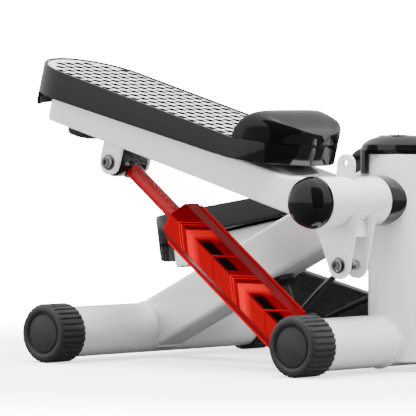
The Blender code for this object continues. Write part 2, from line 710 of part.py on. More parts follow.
def damper(word, shell_material):
    side = SIDES[word]
    top = upper_pin(word)
    reach = top - Vector((PIN_X, side * PEDAL_Y, PIN_Z))
    rise = math.degrees(math.atan2(reach.z, -reach.x))
    frame = new_empty("damper_frame_" + word, (PIN_X, side * PEDAL_Y, PIN_Z), rise - 90)
    damper_barrel("damper_barrel_" + word, frame)
    damper_shell("damper_shell_" + word, frame, shell_material)
    piston_rod("piston_rod_" + word, frame, reach.length)
    damper_lug("damper_lug_" + word, side)
    bolt("damper_bolt_" + word, 0.012, side, None, x=PIN_X, y=side * PEDAL_Y, z=PIN_Z, head_r=0.0065)


# Cable

def lug_point(word, reach, lean=0.0):
    """A point at the given reach below the pivot, on a lug's line or turned from it."""
    angle = math.radians(LUG_LEAN + lean - TILTS[word])
    return Vector((PIVOT_X + reach * math.sin(angle), SIDES[word] * PEDAL_Y, PIVOT_Z - reach * math.cos(angle)))


def cable_half(name, word, pulley):
    """The coated steel cable from a lug's bolt to the back of the pulley, with its ferrule."""
    side = SIDES[word]
    run = PULLEY_R - 0.0002
    along = Vector((math.cos(math.radians(BEAM_SLOPE)), 0, math.sin(math.radians(BEAM_SLOPE))))
    across = Vector((0, side, 0))
    bend = [pulley + run * (across * math.sin(a) - along * math.cos(a))
            for a in [math.radians(2.0 + 84.0 * i / 8) for i in range(9)]]
    pin = lug_point(word, LUG_REACH)
    target = bend[-1] + along * 0.012
    heading = (target - pin).normalized()
    start = pin + heading * (BOLT_R + 0.003)
    sag = Vector((0, 0, 0.0045))
    free = [target.lerp(start, i / 9) + sag * math.sin(math.pi * i / 9) for i in range(10)]
    points = bend + free
    curve = bpy.data.curves.new(name, "CURVE")
    curve.dimensions = "3D"
    curve.bevel_depth = CABLE_R
    curve.bevel_resolution = 2
    curve.use_fill_caps = True
    spline = curve.splines.new("POLY")
    spline.points.add(len(points) - 1)
    for number, (knot, place) in enumerate(zip(spline.points, points)):
        knot.co = (*place, 1)
        knot.radius = 1.45 if number >= len(points) - 2 else 1.0
    cable = bpy.data.objects.new(name, curve)
    PARTS.objects.link(cable)
    curve.materials.append(BLACK_MATT)
    return cable


# Console

def oval(name, inset, low, high, material=None):
    """An upright prism on the console's oval plan."""
    plan = bar(name, (0, 0, low), (0, 0, high), 1.0, material, sides=28)
    for vertex in plan.data.vertices:
        vertex.co.x = CONSOLE_X + vertex.co.x * (CONSOLE_A - inset)
        vertex.co.y *= CONSOLE_B - inset
    return plan


def dome(name, inset, base, material=None):
    """The upper half of an oval dome, closed underneath."""
    def build(work):
        bmesh.ops.create_uvsphere(work, u_segments=28, v_segments=10, radius=1.0)
        geometry = work.verts[:] + work.edges[:] + work.faces[:]
        bmesh.ops.bisect_plane(work, geom=geometry, plane_co=(0, 0, 0), plane_no=(0, 0, -1), clear_outer=True,
                               dist=0.0001)
        bmesh.ops.holes_fill(work, edges=[edge for edge in work.edges if edge.is_boundary])
        for vertex in work.verts:
            flat = vertex.co.xy.length
            lift = math.sqrt(max(0.0, 1 - flat ** 2.6)) if vertex.co.z > 0.0001 else 0.0
            vertex.co.x = CONSOLE_X + vertex.co.x * (CONSOLE_A - inset)
            vertex.co.y *= CONSOLE_B - inset
            vertex.co.z = base + lift * (CONSOLE_HEIGHT - inset)

    return new_object(name, mesh_from(name, build), material)


def console_housing(frame):
    """The lower half: a ring on the column's rim, and a skirt behind it above the beam."""
    housing = oval("console_housing", 0, CONSOLE_SKIRT, CONSOLE_RIM, BLACK_GLOSS)
    post = bar("console_post", (COLUMN_X, 0, 0.1), (COLUMN_X, 0, COLUMN_TOP + GAP), COLUMN_R + GAP, sides=36)
    front = box("console_front", (COLUMN_X - 0.024, -0.06, 0.1), (COLUMN_X + 0.06, 0.06, COLUMN_TOP + GAP))
    height = BEAM_HEIGHT / 2 + GAP
    beam = box("console_beam", (0.1, -BEAM_WIDTH / 2 - GAP, -height), (0.4, BEAM_WIDTH / 2 + GAP, height),
               parent=frame)
    inner = box("console_cavity", (COLUMN_X - 0.022, -0.026, 0.1), (COLUMN_X + 0.024, 0.026, 0.3))
    return cut(housing, post, front, beam, inner)


def console_cover():
    cover = dome("console_cover", 0, CONSOLE_RIM + GAP, BLACK_GLOSS)
    inner = dome("console_cover_inside", CONSOLE_WALL, CONSOLE_RIM + GAP - 0.0001)
    window = bar("console_window", (0, 0, 0.19), (0, 0, 0.23), 1.0, sides=32)
    for vertex in window.data.vertices:
        vertex.co.x = CONSOLE_X + 0.004 + vertex.co.x * 0.013
        vertex.co.y *= 0.019
    x = CONSOLE_X - 0.022
    button = bar("console_button_hole", (x, 0, 0.19), (x, 0, 0.23), 0.0056, sides=16)
    return cut(cover, inner, window, button)


def display_lens():
    lens = bar("display_lens", (0, 0, CONSOLE_RIM + CONSOLE_HEIGHT - 0.0042),
               (0, 0, CONSOLE_RIM + CONSOLE_HEIGHT - 0.0008), 1.0, BLACK_GLOSS, sides=32)
    for vertex in lens.data.vertices:
        vertex.co.x = CONSOLE_X + 0.004 + vertex.co.x * (0.013 - GAP)
        vertex.co.y *= 0.019 - GAP
    return lens


def mode_button():
    x = CONSOLE_X - 0.022
    top = CONSOLE_RIM + CONSOLE_HEIGHT - 0.0005
    return bar("mode_button", (x, 0, top - 0.007), (x, 0, top), 0.0056 - GAP, RED_SHELL, sides=16)


def circuit_board():
    z = CONSOLE_RIM - 0.0016
    return box("circuit_board", (CONSOLE_X - 0.017, -0.0225, z), (CONSOLE_X + 0.022, 0.0225, z + 0.0016), BOARD)


def stepper():
    frame = beam_frame()
    for word, x in (("front", FRONT_X), ("rear", REAR_X)):
        cross_tube(word + "_cross_tube", x)
        for hand, side in SIDES.items():
            end_cap(word + "_cap_" + hand, x, side)
    column()
    main_beam(frame)
    pivot_axle()
    for word, side in SIDES.items():
        axle_screw("axle_screw_" + word, side)
        pivot_spacer("pivot_spacer_" + word, side)
        pedal(word)
    damper("right", RED_SHELL)
    damper("left", BLACK_GLOSS)
    pulley = Vector((PULLEY_X, 0, PULLEY_Z))
    turn = Matrix.Rotation(math.radians(BEAM_SLOPE), 4, "Y")
    centre = turn @ (pulley - Vector((REAR_X, 0, CAP_R)))
    pulley_bracket(frame, centre)
    cable_pulley(frame, centre)
    cable_half("cable_right", "right", pulley)
    cable_half("cable_left", "left", pulley)
    console_housing(frame)
    console_cover()
    display_lens()
    mode_button()
    circuit_board()


stepper()
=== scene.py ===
import json
import math

import bmesh
import bpy
import numpy as np
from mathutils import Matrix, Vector


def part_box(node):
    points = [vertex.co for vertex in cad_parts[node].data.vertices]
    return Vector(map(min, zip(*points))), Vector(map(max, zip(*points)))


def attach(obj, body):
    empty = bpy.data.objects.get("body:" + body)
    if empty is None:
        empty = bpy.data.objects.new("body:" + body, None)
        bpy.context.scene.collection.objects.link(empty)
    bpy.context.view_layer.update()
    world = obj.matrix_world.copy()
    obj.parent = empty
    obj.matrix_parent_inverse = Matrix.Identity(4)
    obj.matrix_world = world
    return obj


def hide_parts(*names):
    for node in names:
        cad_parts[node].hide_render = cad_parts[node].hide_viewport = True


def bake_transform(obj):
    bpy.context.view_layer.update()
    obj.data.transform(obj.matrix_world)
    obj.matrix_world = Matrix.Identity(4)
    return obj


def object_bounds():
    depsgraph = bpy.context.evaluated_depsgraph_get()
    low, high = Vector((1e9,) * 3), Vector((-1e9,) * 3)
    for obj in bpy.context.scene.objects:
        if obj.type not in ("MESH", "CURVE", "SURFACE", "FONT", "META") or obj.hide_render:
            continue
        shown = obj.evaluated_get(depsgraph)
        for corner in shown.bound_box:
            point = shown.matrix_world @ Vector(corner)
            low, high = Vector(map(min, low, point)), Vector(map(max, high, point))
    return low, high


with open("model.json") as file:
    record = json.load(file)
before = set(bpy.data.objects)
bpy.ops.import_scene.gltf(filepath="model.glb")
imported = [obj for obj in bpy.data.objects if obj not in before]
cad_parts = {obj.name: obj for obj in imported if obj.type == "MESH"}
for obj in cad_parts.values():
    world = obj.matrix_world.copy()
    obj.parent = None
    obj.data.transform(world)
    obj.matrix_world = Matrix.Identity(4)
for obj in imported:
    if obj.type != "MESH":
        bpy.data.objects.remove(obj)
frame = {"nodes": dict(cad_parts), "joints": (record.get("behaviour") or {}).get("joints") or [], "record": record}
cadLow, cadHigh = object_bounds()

# +X is towards the toes, the right pedal is on the -Y side
sides = {"right": -1, "left": 1}
joints = {joint["name"]: joint for joint in frame["joints"]}
mounts = {mount["name"]: mount for mount in frame["record"]["mounts"]}
mm = 0.001


def srgb(code):
    # sRGB hex to linear values: a straight part near black, then a power of 2.4
    values = np.array([int(code[i:i + 2], 16) for i in (1, 3, 5)]) / 255
    linear = np.where(values <= 0.04045, values / 12.92, ((values + 0.055) / 1.055) ** 2.4)
    return (*[float(value) for value in linear], 1.0)


def addNode(tree, kind, settings=None, inputs=None):
    # settings are the node's own fields; an input is a value, or (node, output) to link from
    node = tree.nodes.new("ShaderNode" + kind)
    for field, value in (settings or {}).items():
        setattr(node, field, value)
    for socket, value in (inputs or {}).items():
        if isinstance(value, tuple) and isinstance(value[0], bpy.types.Node):
            tree.links.new(value[0].outputs[value[1]], node.inputs[socket])
        else:
            node.inputs[socket].default_value = value
    return node


def smoothStep(low, high, values):
    # 0 below low, 1 above high, an S curve between
    share = np.clip((values - low) / (high - low), 0, 1)
    return share * share * (3 - 2 * share)


def gridFaces(rows, columns, wrap=True):
    # quads between neighbouring rows and columns of a grid numbered row by row
    row = np.arange(rows - 1)[:, None]
    column = np.arange(columns if wrap else columns - 1)[None, :]
    following = (column + 1) % columns
    corners = [row * columns + column, row * columns + following,
               (row + 1) * columns + following, (row + 1) * columns + column]
    return np.stack(corners, axis=-1).reshape(-1, 4)


def makePiece(name, points, faces, material, body, stands=(), sharp=35, values=None):
    # points and faces become one closed mesh: doubles at poles and seams merge, faces turn outwards
    mesh = bpy.data.meshes.new(name)
    mesh.from_pydata(np.asarray(points).reshape(-1, 3).tolist(), [], np.asarray(faces).tolist())
    for label, numbers in (values or {}).items():
        attribute = mesh.attributes.new(label, "FLOAT", "POINT")
        attribute.data.foreach_set("value", np.asarray(numbers, np.float32).ravel())
    work = bmesh.new()
    work.from_mesh(mesh)
    bmesh.ops.remove_doubles(work, verts=work.verts, dist=0.000002)
    loose = [vertex for vertex in work.verts if not vertex.link_faces]
    bmesh.ops.delete(work, geom=loose, context="VERTS")
    bmesh.ops.recalc_face_normals(work, faces=work.faces)
    work.to_mesh(mesh)
    work.free()
    mesh.shade_smooth()
    mesh.set_sharp_from_angle(angle=math.radians(sharp))
    return addPiece(name, mesh, material, body, stands)


def addPiece(name, mesh, material, body, stands=()):
    thing = bpy.data.objects.new(name, mesh)
    bpy.context.scene.collection.objects.link(thing)
    mesh.materials.clear()
    mesh.materials.append(material)
    if body is not None:
        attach(thing, body)
    if stands:
        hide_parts(*stands)
    return thing


def turnedGrid(profile, count):
    # a (radius, height) profile carried round +Z: x = radius cos angle, y = radius sin angle
    profile = np.asarray(profile, float)
    angle = np.linspace(0, 2 * np.pi, count, endpoint=False)
    radius = profile[:, :1]
    height = np.broadcast_to(profile[:, 1:2], (len(profile), count))
    return np.stack([radius * np.cos(angle), radius * np.sin(angle), height], axis=-1)


def layAlong(points, origin, axis):
    # a shape built along +Z is laid along an axis from an origin
    turn = np.array(Vector(axis).to_track_quat("Z", "Y").to_matrix())
    return np.asarray(points) @ turn.T + np.array(origin)


def turnedPiece(name, profile, material, body, stands=(), count=64, origin=(0, 0, 0), axis=(0, 0, 1),
                place=None):
    grid = layAlong(turnedGrid(profile, count), origin, axis)
    if place is not None:
        grid = place(grid)
    return makePiece(name, grid, gridFaces(len(profile), count), material, body, stands)


def roundedSection(half, tall, corner, steps=6):
    # a rectangle of half sizes (half, tall) whose corners are arcs: four arcs in a row, anticlockwise;
    # arrays of half sizes give one section for each
    half, tall = np.asarray(half)[..., None], np.asarray(tall)[..., None]
    quarter = np.linspace(0, np.pi / 2, steps)
    angle = np.concatenate([quarter + k * np.pi / 2 for k in range(4)])
    across = np.array([1, -1, -1, 1]).repeat(steps) * (half - corner) + corner * np.cos(angle)
    upward = np.array([1, 1, -1, -1]).repeat(steps) * (tall - corner) + corner * np.sin(angle)
    return across, upward


def closeEnds(grid):
    # a ring of equal points in the middle of the first and last rings closes a tube at both ends
    first = np.broadcast_to(grid[0].mean(axis=0), grid[0].shape)[None]
    last = np.broadcast_to(grid[-1].mean(axis=0), grid[-1].shape)[None]
    return np.concatenate([first, grid, last])


def sweptTube(path, radius, normal, count=16):
    # a circle carried along a path; one axis of the circle stays square to a fixed normal
    path = np.asarray(path, float)
    tangent = np.gradient(path, axis=0)
    tangent /= np.linalg.norm(tangent, axis=1, keepdims=True)
    side = np.cross(tangent, np.asarray(normal, float))
    side /= np.linalg.norm(side, axis=1, keepdims=True)
    upward = np.cross(side, tangent)
    angle = np.linspace(0, 2 * np.pi, count, endpoint=False)[None, :, None]
    radius = np.broadcast_to(np.asarray(radius, float), (len(path),))[:, None, None]
    return path[:, None] + radius * (side[:, None] * np.cos(angle) + upward[:, None] * np.sin(angle))


def smoothPath(points, count):
    # a Catmull-Rom curve: through every point, each span bent by its two neighbours
    points = np.asarray(points, float)
    padded = np.concatenate([2 * points[:1] - points[1:2], points, 2 * points[-1:] - points[-2:-1]])
    along = np.linspace(0, len(points) - 1.000001, count)
    span = along.astype(int)
    t = (along - span)[:, None]
    a, b, c, d = (padded[span + k] for k in range(4))
    cubic = (2 * a - 5 * b + 4 * c - d) * t ** 2 + (3 * b - a - 3 * c + d) * t ** 3
    return 0.5 * (2 * b + (c - a) * t + cubic)


def middleOf(node):
    low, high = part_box(node)
    return np.array((low + high) / 2)


def newMaterial(name, code, roughness, metallic=0.0, coat=0.0, coatRoughness=0.05):
    material = bpy.data.materials.new(name)
    material.use_nodes = True
    tree = material.node_tree
    shader = tree.nodes["Principled BSDF"]
    shader.inputs["Base Color"].default_value = srgb(code)
    shader.inputs["Roughness"].default_value = roughness
    shader.inputs["Metallic"].default_value = metallic
    shader.inputs["Coat Weight"].default_value = coat
    shader.inputs["Coat Roughness"].default_value = coatRoughness
    return material, tree, shader


def addGrain(tree, shader, size, height, detail=2.0):
    # bumps of one real size in metres, from noise on the object's own coordinates
    place = addNode(tree, "TexCoord")
    grain = addNode(tree, "TexNoise", None,
                    {"Vector": (place, "Object"), "Scale": 1 / size, "Detail": detail})
    bump = addNode(tree, "Bump", None, {"Height": (grain, "Fac"), "Strength": 1.0, "Distance": height})
    tree.links.new(bump.outputs["Normal"], shader.inputs["Normal"])
    return place


def addShift(tree, shader, place, size, darker, lighter):
    # a slow drift between two near tones, and of the roughness with it
    drift = addNode(tree, "TexNoise", None, {"Vector": (place, "Object"), "Scale": 1 / size, "Detail": 3.0})
    tone = addNode(tree, "Mix", {"data_type": "RGBA"}, {"Factor": (drift, "Fac")})
    tone.inputs[6].default_value = srgb(darker)
    tone.inputs[7].default_value = srgb(lighter)
    tree.links.new(tone.outputs[2], shader.inputs["Base Color"])
    base = shader.inputs["Roughness"].default_value
    spread = addNode(tree, "MapRange", None,
                     {"Value": (drift, "Fac"), "To Min": base * 0.8, "To Max": base * 1.2})
    tree.links.new(spread.outputs["Result"], shader.inputs["Roughness"])


def powderCoat():
    # polyester powder coat baked on steel: high gloss, with a faint orange peel about 3 mm across
    material, tree, shader = newMaterial("whitePowderCoat", "#E4E5E6", 0.16, coat=1.0)
    place = addGrain(tree, shader, 3.0 * mm, 0.012 * mm)
    addShift(tree, shader, place, 60 * mm, "#E0E1E2", "#E9EAEB")
    return material


def polishedAbs(name, darker, lighter, roughness=0.09):
    # ABS from a polished mould: deep gloss, with slow flow waves about 14 mm across
    material, tree, shader = newMaterial(name, darker, roughness, coat=0.35, coatRoughness=0.03)
    place = addGrain(tree, shader, 14 * mm, 0.02 * mm, 1.0)
    addShift(tree, shader, place, 40 * mm, darker, lighter)
    return material


def mouldedRubber():
    # PVC rubber from a spark-eroded mould: a dull sheen over 0.8 mm grain, drawn coarse enough to show
    material, tree, shader = newMaterial("capRubber", "#262627", 0.42)
    place = addGrain(tree, shader, 0.8 * mm, 0.03 * mm)
    addShift(tree, shader, place, 12 * mm, "#222223", "#2C2C2D")
    return material


def satinMetal(name, code, roughness, size):
    # plated or drawn metal: fine uneven polish that spreads its highlights
    material, tree, shader = newMaterial(name, code, roughness, metallic=1.0)
    addGrain(tree, shader, size, 0.008 * mm)
    return material


def treadPaint():
    # silver-painted perforated plate; the attribute hollow is 0 on the plate and 1 in a hole and on its wall,
    # which are painted black without gloss: painted shade for the depth of the hole
    material, tree, shader = newMaterial("silverTreadPaint", "#C4C5C6", 0.42)
    place = addGrain(tree, shader, 0.7 * mm, 0.02 * mm)
    drift = addNode(tree, "TexNoise", None,
                    {"Vector": (place, "Object"), "Scale": 1 / (25 * mm), "Detail": 3.0})
    silver = addNode(tree, "Mix", {"data_type": "RGBA"}, {"Factor": (drift, "Fac")})
    silver.inputs[6].default_value = srgb("#BDBEBF")
    silver.inputs[7].default_value = srgb("#CFD0D1")
    hollow = addNode(tree, "Attribute", {"attribute_name": "hollow"})
    tone = addNode(tree, "Mix", {"data_type": "RGBA"}, {"Factor": (hollow, "Fac")})
    tree.links.new(silver.outputs[2], tone.inputs[6])
    # painted shade: the holes and their walls are near black, and below their gloss is taken away
    tone.inputs[7].default_value = srgb("#050505")
    tree.links.new(tone.outputs[2], shader.inputs["Base Color"])
    sheen = addNode(tree, "MapRange", None, {"Value": (hollow, "Fac"), "To Min": 0.5, "To Max": 0.0})
    tree.links.new(sheen.outputs["Result"], shader.inputs["Specular IOR Level"])
    return material


def shellPlastic(name, dark, body, bright, sheen):
    # polished polycarbonate cover; the attribute tone runs from the dark panels to the bright chevrons, and
    # carries painted light and shade for each flat
    material, tree, shader = newMaterial(name, body, 0.22)
    shader.inputs["Specular IOR Level"].default_value = sheen
    addGrain(tree, shader, 10 * mm, 0.015 * mm, 1.0)
    tone = addNode(tree, "Attribute", {"attribute_name": "tone"})
    ramp = addNode(tree, "ValToRGB", None, {"Fac": (tone, "Fac")})
    ramp.color_ramp.elements[0].color = srgb(dark)
    ramp.color_ramp.elements[1].color = srgb(bright)
    middle = ramp.color_ramp.elements.new(0.5)
    middle.color = srgb(body)
    tree.links.new(ramp.outputs["Color"], shader.inputs["Base Color"])
    return material


paint = powderCoat()
glossBlack = polishedAbs("polishedBlackAbs", "#0A0A0B", "#101011")
sheath = polishedAbs("blackPvcSheath", "#0C0C0D", "#141415", 0.16)
mattBlack = polishedAbs("mattBlackNylon", "#1C1C1D", "#252526", 0.45)
# partly painted reflection: the mode button is red, and its red stands in for a pink-red glint seen on the console
# top
buttonRedGlint = polishedAbs("redButtonGlintAbs", "#B01212", "#C41818", 0.2)
lensBlack = polishedAbs("smokedAcrylic", "#16181A", "#1B1E21", 0.05)
boardGreen = polishedAbs("solderMaskedBoard", "#12401F", "#185028", 0.4)
rubber = mouldedRubber()
zinc = satinMetal("zincPlatedSteel", "#B9BBBE", 0.24, 2 * mm)
chrome = satinMetal("hardChromedRod", "#E4E5E6", 0.05, 6 * mm)
# painted reflection: red for the right rod, standing in for red reflections on a chrome rod
rodRedReflection = polishedAbs("chromeRodRedReflection", "#9C000E", "#A80010", 0.16)
darkSteel = polishedAbs("blackBarrelPaint", "#141415", "#1A1A1B", 0.25)
bronze = satinMetal("sinteredBronze", "#8C6A3E", 0.42, 1 * mm)
treadSilver = treadPaint()
shells = {"right": shellPlastic("redPolycarbonate", "#0A0001", "#94000C", "#E60012", 0.05),
          "left": shellPlastic("blackPolycarbonate", "#060606", "#131314", "#3A3A3C", 0.4)}
slots = {"white_paint": paint, "black_gloss_plastic": glossBlack, "black_matt_plastic": mattBlack,
         "black_rubber": rubber, "zinc_steel": zinc, "chrome": chrome, "barrel_steel": darkSteel,
         "red_shell": shells["right"], "black_shell": shells["left"], "tread_silver": treadSilver,
         "bronze": bronze, "lens": lensBlack, "red_button": buttonRedGlint, "board": boardGreen}
for part in frame["record"]["subparts"]:  # every CAD node that stays gets its finish here
    node = frame["nodes"][part["node"]]
    node.data.materials.clear()
    node.data.materials.append(slots[part["material_slot"]])
print("materials done")


def pedalSpace(word):
    # from a pedal's own space, origin on the axle and X towards the toes, to the object's
    pivot = np.array(joints[word + "_pedal_swing"]["pos_m"])
    leanX, _, leanZ = mounts["tread_" + word]["axis"]
    basis = np.array([[leanZ, 0, -leanX], [0, 1, 0], [leanX, 0, leanZ]])

    def place(points):
        return np.asarray(points) @ basis + pivot
    return place


def damperSpace(word):
    # Z runs up the damper from its lower pin, Y stays the object's, X points forwards and up
    origin = np.array(joints[word + "_damper_tilt"]["pos_m"])
    axis = np.array(joints[word + "_rod_slide"]["axis"])
    basis = np.stack([np.cross((0, 1, 0), axis), (0, 1, 0), axis])

    def place(points):
        return np.asarray(points) @ basis + origin
    return place


def roundedCopy(name, node, bevel, material, body, segments=2):
    # the CAD solid again, its triangles merged into flats, with its edges rounded
    mesh = frame["nodes"][node].data.copy()
    mesh.name = name
    work = bmesh.new()
    work.from_mesh(mesh)
    bmesh.ops.remove_doubles(work, verts=work.verts, dist=0.000002)
    bmesh.ops.dissolve_limit(work, angle_limit=math.radians(1), verts=work.verts, edges=work.edges)
    work.to_mesh(mesh)
    work.free()
    mesh.shade_smooth()
    mesh.set_sharp_from_angle(angle=math.radians(35))
    thing = addPiece(name, mesh, material, body, [node])
    if bevel:
        edge = thing.modifiers.new("roundedEdges", "BEVEL")
        edge.width = bevel
        edge.segments = segments
        edge.limit_method = "ANGLE"
        edge.angle_limit = math.radians(38)
        edge.harden_normals = True
    return thing


tubeSizes = {"radius": 24 * mm, "wall": 4 * mm, "bevel": 0.8 * mm}
capSizes = {"radius": 28 * mm, "length": 32 * mm, "bore": 24.3 * mm, "ribs": 29, "ribDepth": 1.3 * mm}
columnSizes = {"radius": 36 * mm, "wall": 3 * mm, "rim": 1.0 * mm}
beamSizes = {"half": 20 * mm, "tall": 23 * mm, "corner": 4.5 * mm, "slope": 25.5}
beadSizes = {"radius": 1.6 * mm, "ripple": 0.25 * mm, "pitch": 4 * mm}
tubeAxes = {end: middleOf(end + "_cross_tube") for end in ("front", "rear")}
columnAxis = middleOf("column")


def crossTube(end):
    # a pipe turned round its own axis: outer wall, rounded end, inner wall
    low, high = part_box(end + "_cross_tube")
    half = (high.y - low.y) / 2
    r, w, b = tubeSizes["radius"], tubeSizes["wall"], tubeSizes["bevel"]
    profile = [(r - w, -half), (r - b, -half), (r, -half + b), (r, half - b), (r - b, half), (r - w, half),
               (r - w, -half)]
    turnedPiece(end + "Tube", profile, paint, "base", [end + "_cross_tube"], 96,
                tubeAxes[end], (0, 1, 0))


def endCap(end, word):
    # a turned cup whose side is pressed in between the ribs: the radius less depth times weight times a
    # rounded wave
    node = end + "_cap_" + word
    low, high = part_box(node)
    r, length, bore = capSizes["radius"], capSizes["length"], capSizes["bore"]
    face = length - 1.4 * mm
    profile = [(0, face, 0), (17.0 * mm, face, 0), (17.8 * mm, length - 1.8 * mm, 0),
               (18.3 * mm, length - 2.6 * mm, 0), (19.3 * mm, length - 2.6 * mm, 0),
               (19.8 * mm, length - 1.2 * mm, 0),
               (20.6 * mm, length - 0.3 * mm, 0), (21.8 * mm, length, 0), (24.4 * mm, length - 0.1 * mm, 0),
               (25.8 * mm, length - 0.8 * mm, 0), (26.8 * mm, length - 2.0 * mm, 0.15),
               (27.3 * mm, length - 2.6 * mm, 0.6),
               (r, length - 3.6 * mm, 1), (r, 1.6 * mm, 1), (r - 0.8 * mm, 0.3 * mm, 0.7),
               (r - 1.8 * mm, 0, 0.2),
               (bore, 0, 0), (bore, length - 5 * mm, 0), (0, length - 5 * mm, 0)]
    weight = np.array(profile)[:, 2:]
    count = capSizes["ribs"] * 14
    grid = turnedGrid(profile, count)
    angle = np.linspace(0, 2 * np.pi, count, endpoint=False)
    wave = np.cos(capSizes["ribs"] * angle)
    hollow = smoothStep(-0.35, -0.85, wave) + 0.12 * (0.5 - 0.5 * wave)
    outward = np.linalg.norm(grid[..., :2], axis=-1)
    scale = np.where(outward > 0, 1 - capSizes["ribDepth"] * weight * hollow / np.maximum(outward, mm), 1)
    grid[..., :2] *= scale[..., None]
    start = low.y if word == "left" else high.y
    origin = ((low.x + high.x) / 2, start, (low.z + high.z) / 2)
    grid = layAlong(grid, origin, (0, sides[word], 0))
    makePiece(end + "Cap" + word.title(), grid, gridFaces(len(profile), count), rubber, "base",
              [node])


def weldBead(name, path):
    # a closed path with a tube round it, whose radius ripples like stacked weld puddles
    path = np.asarray(path, float)
    step = np.linalg.norm(np.roll(path, -1, axis=0) - path, axis=1)
    run = np.concatenate([[0], np.cumsum(step)[:-1]])
    puddles = max(6, round(step.sum() / beadSizes["pitch"]))
    radius = beadSizes["radius"] + beadSizes["ripple"] * np.cos(2 * np.pi * puddles * run / step.sum())
    tangent = np.roll(path, -1, axis=0) - np.roll(path, 1, axis=0)
    tangent /= np.linalg.norm(tangent, axis=1, keepdims=True)
    outward = path - path.mean(axis=0)
    side = np.cross(tangent, outward)
    side /= np.linalg.norm(side, axis=1, keepdims=True)
    upward = np.cross(side, tangent)
    angle = np.linspace(0, 2 * np.pi, 12, endpoint=False)[None, :, None]
    swing = side[:, None] * np.cos(angle) + upward[:, None] * np.sin(angle)
    ring = path[:, None] + radius[:, None, None] * swing
    grid = np.concatenate([ring, ring[:1]])
    makePiece(name, grid, gridFaces(len(grid), 12), paint, "base")


def columnPiece():
    # a pipe standing on end, its upper rim rolled over
    low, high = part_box("column")
    r, w, b = columnSizes["radius"], columnSizes["wall"], columnSizes["rim"]
    profile = [(r - w, low.z), (r - b, low.z), (r, low.z + b), (r, high.z - b),
               (r - 0.3 * b, high.z - 0.3 * b),
               (r - b, high.z), (r - w, high.z), (r - w, low.z)]
    turnedPiece("columnTube", profile, paint, "base", ["column"], 128,
                (columnAxis[0], columnAxis[1], 0))
    angle = np.linspace(0, 2 * np.pi, 160, endpoint=False)
    front = tubeAxes["front"]
    x = front[0] + tubeSizes["radius"] * np.cos(angle)
    z = front[2] + tubeSizes["radius"] * np.sin(angle)
    reach = np.sqrt(r * r - (x - columnAxis[0]) ** 2)
    for word, side in sides.items():
        weldBead("footWeld" + word.title(), np.stack([x, side * reach, z], axis=-1))


def beamPiece():
    # a rounded box section carried from the rear tube up to the column, each end bent to what it meets
    slope = math.radians(beamSizes["slope"])
    along = np.array([math.cos(slope), 0, math.sin(slope)])
    square = np.array([-math.sin(slope), 0, math.cos(slope)])
    rear = tubeAxes["rear"]
    y, z = roundedSection(beamSizes["half"], beamSizes["tall"], beamSizes["corner"], 7)
    start = np.sqrt(tubeSizes["radius"] ** 2 - z * z)
    columnFace = columnAxis[0] - np.sqrt(columnSizes["radius"] ** 2 - y * y)
    end = (columnFace - rear[0] + z * math.sin(slope)) / math.cos(slope)
    share = np.linspace(0, 1, 24)[:, None]
    far = start * (1 - share) + end * share
    grid = rear + far[..., None] * along + y[:, None] * np.array([0, 1, 0]) + z[:, None] * square
    grid = closeEnds(grid)
    makePiece("mainBeam", grid, gridFaces(len(grid), len(y)), paint, "base", ["main_beam"])
    weldBead("rearWeld", grid[1])
    weldBead("columnWeld", grid[-2])


for end in ("front", "rear"):
    crossTube(end)
    for word in sides:
        endCap(end, word)
columnPiece()
beamPiece()
print("frame done")


plan = {"heel": -378 * mm, "toe": -36 * mm, "radius": 54 * mm, "bend": -103 * mm,
        "slope": math.tan(math.radians(8.6)),
        "tread": 31 * mm, "rim": 32.2 * mm, "rimWidth": 3.5 * mm, "floorHeel": 3 * mm, "floorBend": 12.5 * mm}
lipSizes = {"drop": 14.5 * mm, "inner": 34, "outer": 48}
holeSizes = {"first": -334.2 * mm, "pitch": 12.4 * mm, "radius": 4.6 * mm, "depth": 2.0 * mm,
             "edge": 0.7 * mm, "margin": 1.0 * mm}
hoodSizes = {"sag": 9 * mm, "ridge": 63 * mm, "ridgeAt": 0.22, "toe": 54 * mm, "start": 34.5 * mm,
             "scoop": 8 * mm}
armSizes = {"half": 39 * mm, "bottom": -20 * mm, "heel": -350 * mm, "front": -4 * mm, "corner": 3.5 * mm,
            "planCorner": 14 * mm, "clear": 0.5 * mm}
sleeveSizes = {"radius": 23 * mm, "half": 41 * mm, "bore": 16 * mm, "edge": 1.2 * mm}
pinSizes = {"clevisHalf": 22.5 * mm, "lugHalf": 13.5 * mm, "shank": 3.9 * mm}
bumperSizes = {"x": -329.5 * mm, "radius": 15.5 * mm, "height": 12 * mm}


def turnUp(x):
    # past the bend line the toe end climbs at a steady slope
    return np.maximum(0, x - plan["bend"]) * plan["slope"]


def skirtFloor(x):
    share = (x - plan["heel"]) / (plan["bend"] - plan["heel"])
    return plan["floorHeel"] + (plan["floorBend"] - plan["floorHeel"]) * np.minimum(share, 1)


def planPath(arcSteps=40, sideSteps=60):
    # round a stadium, anticlockwise from the toe's -Y end: the spine point and the outward direction at
    # each step
    middle = [plan["heel"] + plan["radius"], plan["toe"] - plan["radius"]]
    arc = np.linspace(-np.pi / 2, np.pi / 2, arcSteps)
    straight = np.linspace(0, 1, sideSteps + 2)[1:-1]
    spine = np.concatenate([np.full(arcSteps, middle[1]), middle[1] + (middle[0] - middle[1]) * straight,
                            np.full(arcSteps, middle[0]), middle[0] + (middle[1] - middle[0]) * straight])
    angle = np.concatenate([arc, np.full(sideSteps, np.pi / 2), arc + np.pi, np.full(sideSteps, 1.5 * np.pi)])
    return spine, angle


